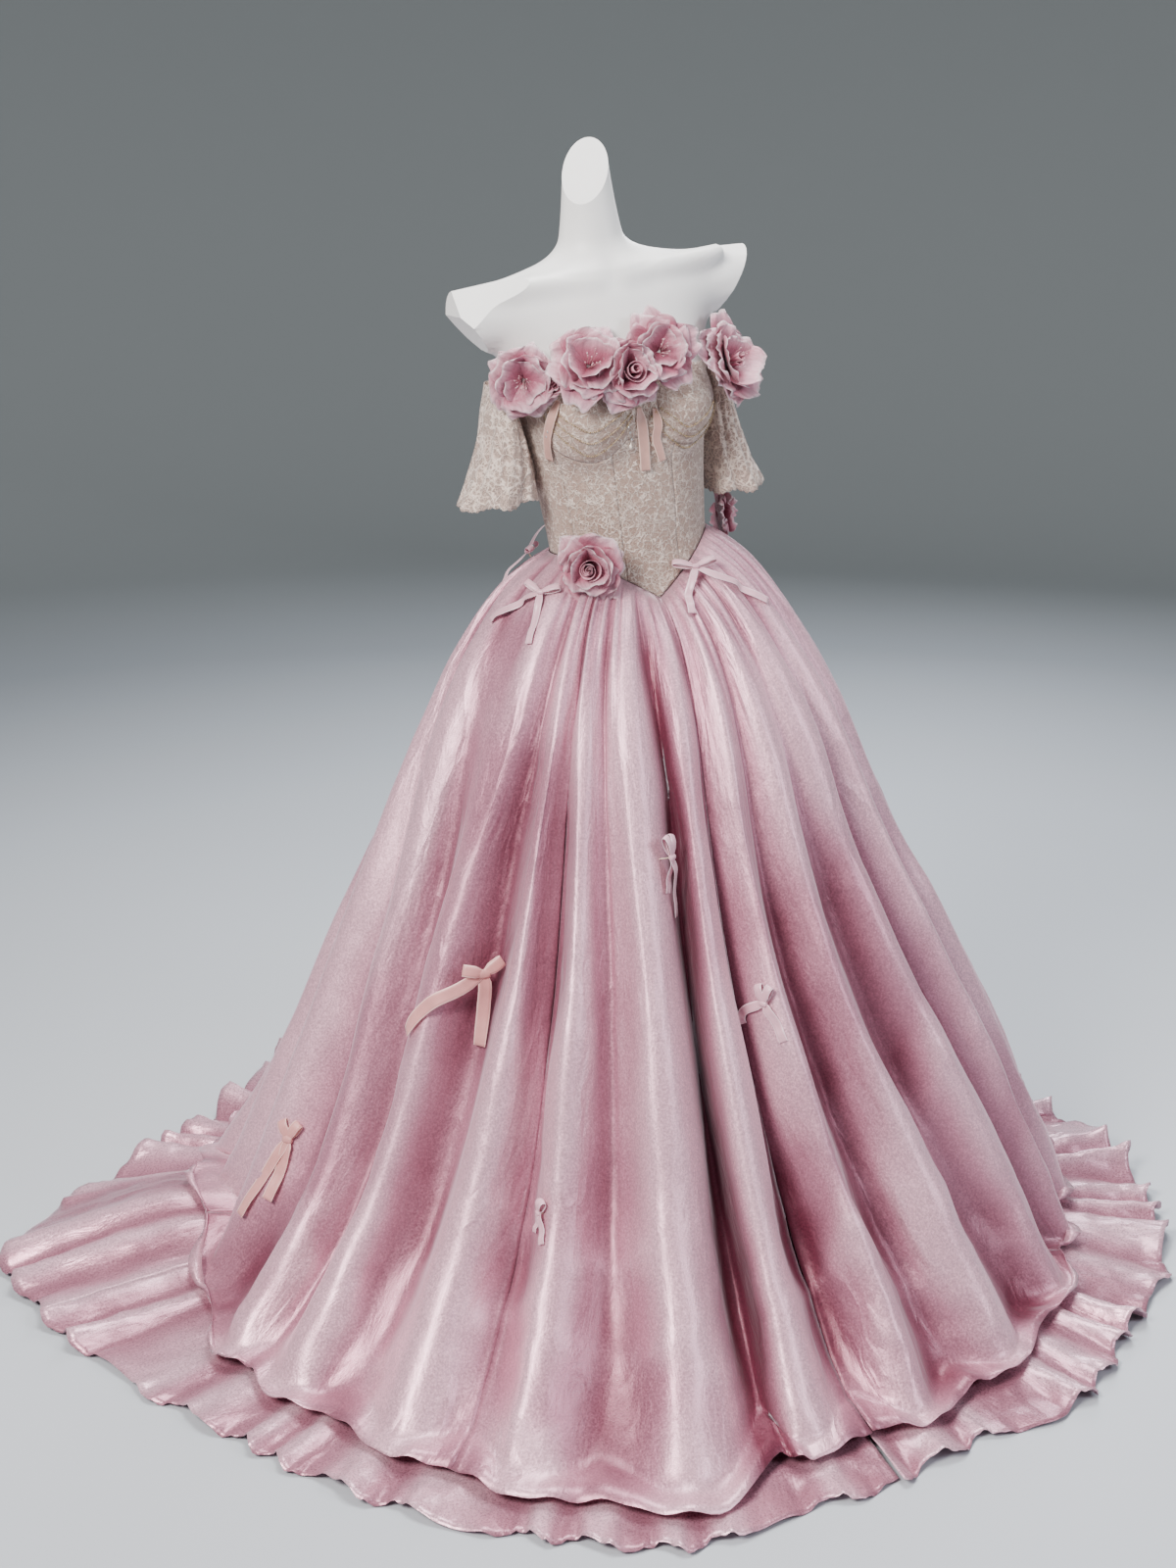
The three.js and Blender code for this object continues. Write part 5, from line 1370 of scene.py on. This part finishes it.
def make_flounce(name, start, end):
    waves = np.linspace(start + 0.001, end - 0.001, (end - start) * 18 + 1)
    part = FLOUNCE["part"]
    ts = np.concatenate([np.linspace(0, part, 8)[:-1], np.linspace(part, 1, 22) ** 0.9])
    ts = np.unique(np.clip(ts, 0, 1))
    w, t = np.meshgrid(waves, ts[::-1])
    p = flounce_grid(w, t)
    n = grid_normals(p)
    out = clamp((t - 0.3) / 0.3)
    fine = (crumple(p, 60) - 0.7) * 3.5 + (crumple(p + 500, 27) - 0.7) * 1.4
    p = p + n * (fine * out * clamp((1 - t) / 0.06 + 0.35))[..., None]
    p[..., 2] = np.maximum(p[..., 2], 0.9)
    # Painted light and shade: ruffle crests lighter, troughs darker, and darker towards the sewn edge under
    # the skirt
    tone = clamp(0.35 - 0.3 * np.cos(wave_phase(w)) * out + 0.25 * (1 - t))
    held = ("underlayer_organza", "underlayer", "gathered", UNDER_BOTH)
    cloth_grid(name, p, *held, thick=0.7, tone=tone)


for part in FLOUNCE_PARTS:
    make_flounce(*part)


# Flowers


class Pile:
    """Points, faces and uv of a piece that is gathered from several small shapes."""

    def __init__(self):
        self.points, self.faces, self.uv, self.count = [], [], [], 0

    def add(self, points, faces, uv):
        points = np.asarray(points, float).reshape(-1, 3)
        self.faces += [[int(k) + self.count for k in f] for f in faces]
        self.points.append(points)
        self.uv.append(np.asarray(uv, float).reshape(-1, 2))
        self.count += len(points)

    def build(self, name, material, thick=0.0):
        points, uv = np.concatenate(self.points), np.concatenate(self.uv)
        return make_object(name, points, self.faces, material, uv, thick, offset=0)


def petal(pile, f, turn, size, heights, curl, ruffle, rng, start):
    """One ruffled petal that leaves the heart, rises and curls back at its rim."""
    (length, width), (base_h, rim_h), cup, rows, cols = size, heights, 0.3, 12, 19
    s, t = np.meshgrid(np.linspace(0, 1, rows), np.linspace(-1, 1, cols), indexing="ij")
    shape = np.sin(math.pi * (0.1 + 0.68 * s**1.05)) ** 0.65
    phase, wave = rng.uniform(0, 6.28), rng.uniform(2.4, 4.2)
    notch = 1 + 0.07 * np.cos(t * math.pi * 1.5 + phase) * s**3 - 0.2 * t**4
    r = length * mix(start, 1, s) * notch
    lateral = t * width * shape * 0.5
    h = mix(base_h, rim_h, s**1.25) - curl * clamp((s - 0.62) / 0.38) ** 2
    h = h + cup * np.abs(lateral) ** 1.6 / max(1, width) ** 0.6 * 0.5
    h = h + ruffle * s**2 * np.sin(t * wave * 2.2 + phase) * (0.35 + 0.65 * np.abs(t))
    h = h + ruffle * 0.42 * s**3 * np.sin(t * wave * 5 + phase * 2)
    b = turn * DEG
    x = r * math.sin(b) + lateral * math.cos(b)
    y = r * math.cos(b) - lateral * math.sin(b)
    points = in_frame(f, x, y, h)
    uv = np.stack([t / 2 + 0.5, s], -1)
    pile.add(points, grid_faces(rows, cols), uv)


def tube(pile, path, radius, sides=6):
    """Thin closed strand along points; radius may be one number or one for each point."""
    path = np.asarray(path, float)
    radius = np.broadcast_to(np.asarray(radius, float), len(path))
    d = unit(np.gradient(path, axis=0))
    ref = np.array([0.0, 0.0, 1.0]) if abs(d[0][2]) < 0.9 else np.array([1.0, 0.0, 0.0])
    side = unit(np.cross(d, ref))
    top = np.cross(side, d)
    a = circle(sides)[None, :, None]
    ring = side[:, None] * np.cos(a) + top[:, None] * np.sin(a)
    p = path[:, None] + ring * radius[:, None, None]
    pile.add(p, capped_faces(len(path), sides), np.full((len(path) * sides, 2), 0.5))


def ball(pile, centre, radius, sides=8, rings=5):
    """Small closed bead."""
    v = np.linspace(0, math.pi, rings + 1)[1:-1]
    a = circle(sides)
    flat = np.outer(np.sin(v), np.cos(a)), np.outer(np.sin(v), np.sin(a))
    p = np.stack([*flat, np.outer(np.cos(v), np.ones(sides))], -1)
    pole = np.array([0, 0, radius])
    points = [centre + pole, *(centre + p * radius).reshape(-1, 3), centre - pole]
    faces = []
    last = len(points) - 1
    for j in range(sides):
        k = (j + 1) % sides
        faces.append([0, 1 + j, 1 + k])
        faces.append([last, last - sides + k, last - sides + j])
        for i in range(rings - 2):
            a0 = 1 + i * sides
            faces.append([a0 + j, a0 + sides + j, a0 + sides + k, a0 + k])
    pile.add(np.array(points), faces, np.full((len(points), 2), 0.5))


def rolled_heart(pile, f, radius, height, turns, foot, rng):
    """Rosebud: a strip rolled into a loose spiral with a waved upper edge."""
    rows, cols = 7, int(turns * 22)
    s, t = np.meshgrid(np.linspace(0, 1, rows), np.linspace(0, 1, cols), indexing="ij")
    phase = rng.uniform(0, 6.28)
    r = radius * (0.12 + 0.88 * t) * (0.75 + 0.4 * s**1.5) * (1 + 0.1 * np.sin(t * turns * 9 + phase))
    a = t * turns * 2 * math.pi + phase
    h = foot + s * height * (1.08 - 0.3 * t) + s**2 * 1.4 * np.sin(t * turns * 13 + phase)
    uv = np.stack([t, 0.25 + 0.6 * s], -1)
    pile.add(in_frame(f, r * np.sin(a), r * np.cos(a), h), grid_faces(rows, cols), uv)


def make_petals(pile, f, layers, half, spin, rng):
    for count, length, width, rim, curl, ruffle, start, offset in layers:
        for i in range(count):
            turn = spin + offset + i * 360 / count + rng.uniform(-13, 13)
            grow = half * rng.uniform(0.84, 1.1)
            rise = half * rim * rng.uniform(0.6, 1.3)
            size = (length * grow, width * grow * 1.15)
            bend = curl * rng.uniform(0.6, 1.6)
            petal(pile, f, turn, size, (1.2 + offset * 0.03, rise), bend, ruffle, rng, start)


def make_stamens(pile, f, half, count, rng):
    """Thin bowed stems with a knob on each."""
    for _ in range(count):
        a = rng.uniform(0, 2 * math.pi)
        r = half * 0.27 * math.sqrt(rng.uniform(0.02, 1))
        tall = half * rng.uniform(0.52, 0.68)
        foot = in_frame(f, r * 0.3 * math.sin(a), r * 0.3 * math.cos(a), 1.5)
        head = in_frame(f, r * math.sin(a), r * math.cos(a), tall)
        mid = (foot + head) / 2 + (head - foot)[::-1] * 0.04
        t = np.linspace(0, 1, 5)[:, None]
        tube(pile, foot * (1 - t) ** 2 + 2 * mid * t * (1 - t) + head * t**2, 0.4, 5)
        ball(pile, head, 1.1, 7, 5)


def make_flower(name, angle, z, size, out, spin, face, heart, seed):
    f = turned(body_frame(angle, z, out), face)
    rng = np.random.default_rng(seed)
    half = size / 2
    petals, inner, knobs = Pile(), Pile(), Pile()
    make_petals(petals, f, BUD_LAYERS if heart == "bud" else PETAL_LAYERS, half, spin, rng)
    strips, stamens = HEARTS[heart]
    for radius, height, turns, foot in strips:
        rolled_heart(inner, f, half * radius, half * height, turns, foot, rng)
    make_stamens(knobs, f, half, stamens, rng)
    flower = petals.build(name + "_petals", "petal_organza", 0.22)
    if inner.count:
        inner.build(name + "_heart", "heart_organza", 0.35).parent = flower
    if knobs.count:
        knobs.build(name + "_stamens", "stamen_rose").parent = flower
    take_over(flower, "petals", name)


for row in FLOWERS:
    make_flower(*row)


# Ribbons


def spline(points, count):
    """Smooth line through points."""
    p = np.asarray(points, float)
    p = np.concatenate([[2 * p[0] - p[1]], p, [2 * p[-1] - p[-2]]])
    t = np.linspace(0, len(p) - 3 - 1e-9, count)
    i = t.astype(int)
    u = (t - i)[:, None]
    a, b, c, d = p[i], p[i + 1], p[i + 2], p[i + 3]
    return 0.5 * (2 * b + (c - a) * u + (2 * a - 5 * b + 4 * c - d) * u**2 + (3 * b - a - 3 * c + d) * u**3)


def ribbon(pile, path, across, width, fold, cols, taper):
    """Flat band along a line; across gives the way over its width at each point."""
    d = unit(np.gradient(path, axis=0))
    across = unit(across - d * (across * d).sum(-1, keepdims=True))
    out = np.cross(across, d)
    t = np.linspace(-1, 1, cols)
    w = width * taper
    p = path[:, None] + across[:, None] * (t[None, :, None] * w[:, None, None] / 2)
    p = p + out[:, None] * (fold * (t**2 - 0.5))[None, :, None]
    uv = np.stack(np.meshgrid(t / 2 + 0.5, running_length(path) * MM), -1)
    pile.add(p, grid_faces(len(path), cols), uv)


def cloth_point(angle, z):
    """Outside of the cloth at a turn and a world height, over the skirt or the bodice."""
    top = skirt_top(angle)
    if z > top[2]:
        return lean(form_point(angle, waist_z(angle) + z - top[2], 0, BODICE_OUT + 1))
    run = z / WAIST_HEIGHT
    for _ in range(6):
        ks = np.linspace(-4, 28, 1281)
        fold = np.floor(ks)
        level = np.full_like(ks, run)
        here = mix(fold_angle(fold, level), fold_angle(fold + 1, level), place_in(ks, level))
        k = np.interp(angle % 360, here, ks)
        p = skirt_point(np.array([k]), np.array([run]), fine=False)[0]
        run = float(np.clip(run * z / p[2], 0.02, 1))
    return p


def cloth_spot(angle0, z0, across, up, out):
    """Place near a point of the cloth, off its surface, and the way out there."""
    mid = cloth_point(angle0, z0)
    reach = math.hypot(mid[0] - float(middle(z0)), mid[1])

    def at(a, b):
        return cloth_point(angle0 + a / reach / DEG, z0 + b)

    p = at(across, up)
    n = unit(np.cross(at(across + 4, up) - at(across - 4, up), at(across, up + 4) - at(across, up - 4)))
    return p + n * out, n


def bow_loop(pile, f, turn, loop, width):
    c, s = math.cos(turn * DEG), math.sin(turn * DEG)
    line = spline([(r * loop, h, 0) for r, h in LOOP_SHAPE], 34)
    path = in_frame(f, line[:, 0] * c, line[:, 0] * s, line[:, 1])
    flat = np.broadcast_to(f["side"] * -s + f["up"] * c, path.shape)
    wide = np.clip(0.45 + line[:, 0] / loop * 1.3, 0.45, 1)
    ribbon(pile, path, flat, width, 0.5, 5, wide)


def free_tail(f, across, up, out):
    """Line and ways of a ribbon end that stands free of the cloth."""
    t = np.linspace(0, 1, 7)
    rise = up * t + 3 * np.sin(t * 3)
    path = in_frame(f, across * t, rise, out * t + 4 * np.sin(t * math.pi))
    return path, np.broadcast_to(f["side"] * -up + f["up"] * across, path.shape)


def lying_tail(angle, z, across, up, stand):
    """Line and ways of a ribbon end that follows the cloth."""
    spots = []
    for t in np.linspace(0, 1, 6):
        bend = math.sin(t * math.pi) * across * 0.15
        reach = mix(stand - 0.5, TAIL_CLEAR - 2.5, ease(t)) + 1.5 * math.sin(t * 9)
        spots.append(cloth_spot(angle, z, across * t + bend, up * t, reach))
    path = np.array([p for p, _ in spots])
    outs = np.array([n for _, n in spots])
    return path, np.cross(np.gradient(path, axis=0), outs)


def knot_pile(f, width):
    """Knot of a bow: a short soft barrel over its middle."""
    rows, sides = 9, 16
    half = width * 0.5
    turns = circle(sides)
    rings = []
    for k, t in enumerate(np.linspace(-1, 1, rows)):
        belly = 1 - 0.22 * t * t
        tall = half * 0.78 * np.cos(turns) * belly * (1 + 0.05 * math.sin(k * 2.4))
        rings.append(in_frame(f, t * half * 1.05, tall, 1.2 + 3.2 * np.sin(turns) * belly))
    uv = np.stack(np.meshgrid(np.linspace(0.2, 0.8, sides), np.linspace(0, 0.02, rows)), -1)
    knot = Pile()
    knot.add(np.stack(rings)[:, ::-1], capped_faces(rows, sides), uv)
    return knot


def make_bow(name, angle, z, loop, width, stand, loop_a, loop_b, tail_a, tail_b):
    kind = "organza" if "organza" in name else "satin"
    cloth = "ribbon_" + kind
    f = frame_of(*cloth_spot(angle, z, 0, 0, stand))
    pile, post = Pile(), Pile()
    for turn in (loop_a, loop_b):
        bow_loop(pile, f, turn, loop, width)
    tails = [lying_tail(angle, z, *end, stand) for end in (tail_a, tail_b)]
    if name in FREE_TAIL:
        tails[0] = free_tail(f, *FREE_TAIL[name])
    wide = np.clip(0.5 + np.linspace(0, 1, 26) * 4, 0.5, 1)
    for path, ways in tails:
        ribbon(pile, spline(path, 26), spline(ways, 26), width * 1.15, 0.6, 5, wide)
    made = pile.build(name + "_ribbon", cloth, 0.45)
    knot_pile(f, width).build(name + "_knot", cloth).parent = made
    back, _ = cloth_spot(angle, z, 0, 0, 0.9)
    tube(post, np.linspace(in_frame(f, 0, 0, -0.5), back, 4), 0.8)
    post.build(name + "_stitch", "thread_champagne").parent = made
    take_over(made, kind + "_ribbon", name)


for row in BOWS:
    make_bow(*row)


def make_streamer(name, width, angles, heights):
    places, ways = [], []
    for i, (angle, z) in enumerate(zip(angles, heights)):
        f = body_frame(angle, z, STREAMER_SEAT if i == 0 else STREAMER_OUT + 1.2 * math.sin(i * 2.1))
        places.append(f["o"])
        ways.append(f["side"])
    pile = Pile()
    line = spline(places, 34)
    wide = np.clip(0.45 + np.linspace(0, 1, 34) * 3.2, 0.45, 1)
    ribbon(pile, line, -spline(ways, 34), width, 1.2, 7, wide)
    made = pile.build(name + "_ribbon", "ribbon_organza_pale", 0.35)
    take_over(made, "organza_ribbon", name)


for row in STREAMERS:
    make_streamer(*row)


# Beads


def bodice_spots(places, out, count):
    """Smooth line over the bodice through angles and heights."""
    line = spline([(a, z, 0) for a, z in places], count)
    return lean(form_point(line[:, 0], line[:, 1], 0, BODICE_OUT + out))


def make_swags():
    beads, thread = Pile(), Pile()
    for places in SWAGS:
        fine = bodice_spots(places, 1.3, 120)
        long = running_length(fine)
        tube(thread, fine[::3], 0.35, 5)
        for d in np.arange(1.0, long[-1], 3.0):
            centre = np.array([np.interp(d, long, fine[:, k]) for k in range(3)])
            ball(beads, centre, 0.95 if int(d / 3) % 4 else 1.35, 7, 5)
    take_over(beads.build("bead_swags", "bead_gold"), "lace")
    take_over(thread.build("bead_swag_threads", "thread_champagne"), "lace")


def make_crystals():
    stones, drop = Pile(), Pile()
    for angle, z in CRYSTALS:
        ball(stones, lean(form_point(angle, z, 0, BODICE_OUT + 1.4)), 2.0, 6, 4)
    d = DROP
    place = lean(form_point(d["angle"], d["top"], 0, BODICE_OUT + 2.0))
    t = np.linspace(0, 1, 9)
    path = place - np.outer(t * d["length"], (0, 0, 1.0))
    tube(drop, path, 0.3 + d["radius"] * np.sin(math.pi * t**1.8) ** 0.8, 10)
    take_over(stones.build("bodice_crystals", "crystal"), "lace")
    take_over(drop.build("bodice_drop", "pearl"), "lace")


make_swags()
make_crystals()


# Camera, light and floor


def add_camera():
    data = bpy.data.cameras.new("camera")
    data.lens = CAMERA_LENS
    data.sensor_width = 36
    data.clip_end = 100
    camera = new_object("camera", data)
    camera.location = CAMERA_AT
    camera.rotation_euler = tuple(a * DEG for a in CAMERA_TURN)
    bpy.context.scene.camera = camera


def add_light(name, place, target, size, power, colour):
    data = bpy.data.lights.new(name, "AREA")
    data.shape = "RECTANGLE"
    data.size, data.size_y = size
    data.energy = power
    data.color = linear(colour)[:3]
    light = new_object(name, data)
    light.location = place
    way = Vector(target) - Vector(place)
    light.rotation_euler = way.to_track_quat("-Z", "Y").to_euler()


def floor_material():
    """Painted light and shade on the floor: a pool of light near the gown that darkens with the distance
    from it, and a painted shadow darker to one side where it is far.
    """
    s = Shader("floor_grey", Specular_IOR_Level=0.2, Roughness=0.85)
    place = s.coords()
    far = s.node("ShaderNodeVectorMath", {"operation": "LENGTH"})
    s.tree.links.new(place, far.inputs[0])
    far = far.outputs["Value"]
    # Painted pool of light near the gown and painted shade further off
    stops = [(0.0, "#bfc4ca"), (0.2, "#b0b6bd"), (0.42, "#8b9197"), (0.62, "#888d8f"), (1.0, "#8f9495")]
    tone = s.ramp(s.spread(far, 0.9, 8.0, 0.0, 1.0), stops)
    # Painted shadow towards -X
    across = s.node("ShaderNodeSeparateXYZ", Vector=place).outputs["X"]
    side = s.spread(across, -2.6, 0.6, 0.72, 1.0)
    near = s.spread(far, 3.6, 6.5, 1.0, 0.0)
    tone = s.blend(near, tone, s.blend(1.0, tone, side, "MULTIPLY"))
    worn = s.ramp(s.noise(2, 4, 0.6), [(0.3, 0.9), (0.7, 1.05)])
    s.set("Base Color", s.blend(0.05, tone, worn, "MULTIPLY"))


def add_floor():
    """Floor that curves up into a wall all round, painted pale near the gown and grey on the wall as painted
    shade.
    """
    floor_material()
    flat, bend, sides = FLOOR["flat"], FLOOR["bend"], FLOOR["sides"]
    turns = np.linspace(0, math.pi / 2, 14)
    sweep = [(flat + bend * math.sin(t), bend * (1 - math.cos(t))) for t in turns]
    profile = [(0.05, 0.0), (1500, 0.0), (3500, 0.0), *sweep, (flat + bend, FLOOR["wall"])]
    faces = grid_faces(len(profile), sides, closed=True)
    floor = make_object("floor", turned_rows(profile, sides), faces, "floor_grey")
    floor.data.flip_normals()


def add_world():
    world = bpy.data.worlds.new("studio")
    world.use_nodes = True
    background = world.node_tree.nodes["Background"]
    background.inputs["Color"].default_value = linear(WORLD["colour"])
    background.inputs["Strength"].default_value = WORLD["strength"]
    bpy.context.scene.world = world


add_camera()
for row in LIGHTS:
    add_light(*row)
add_floor()
add_world()
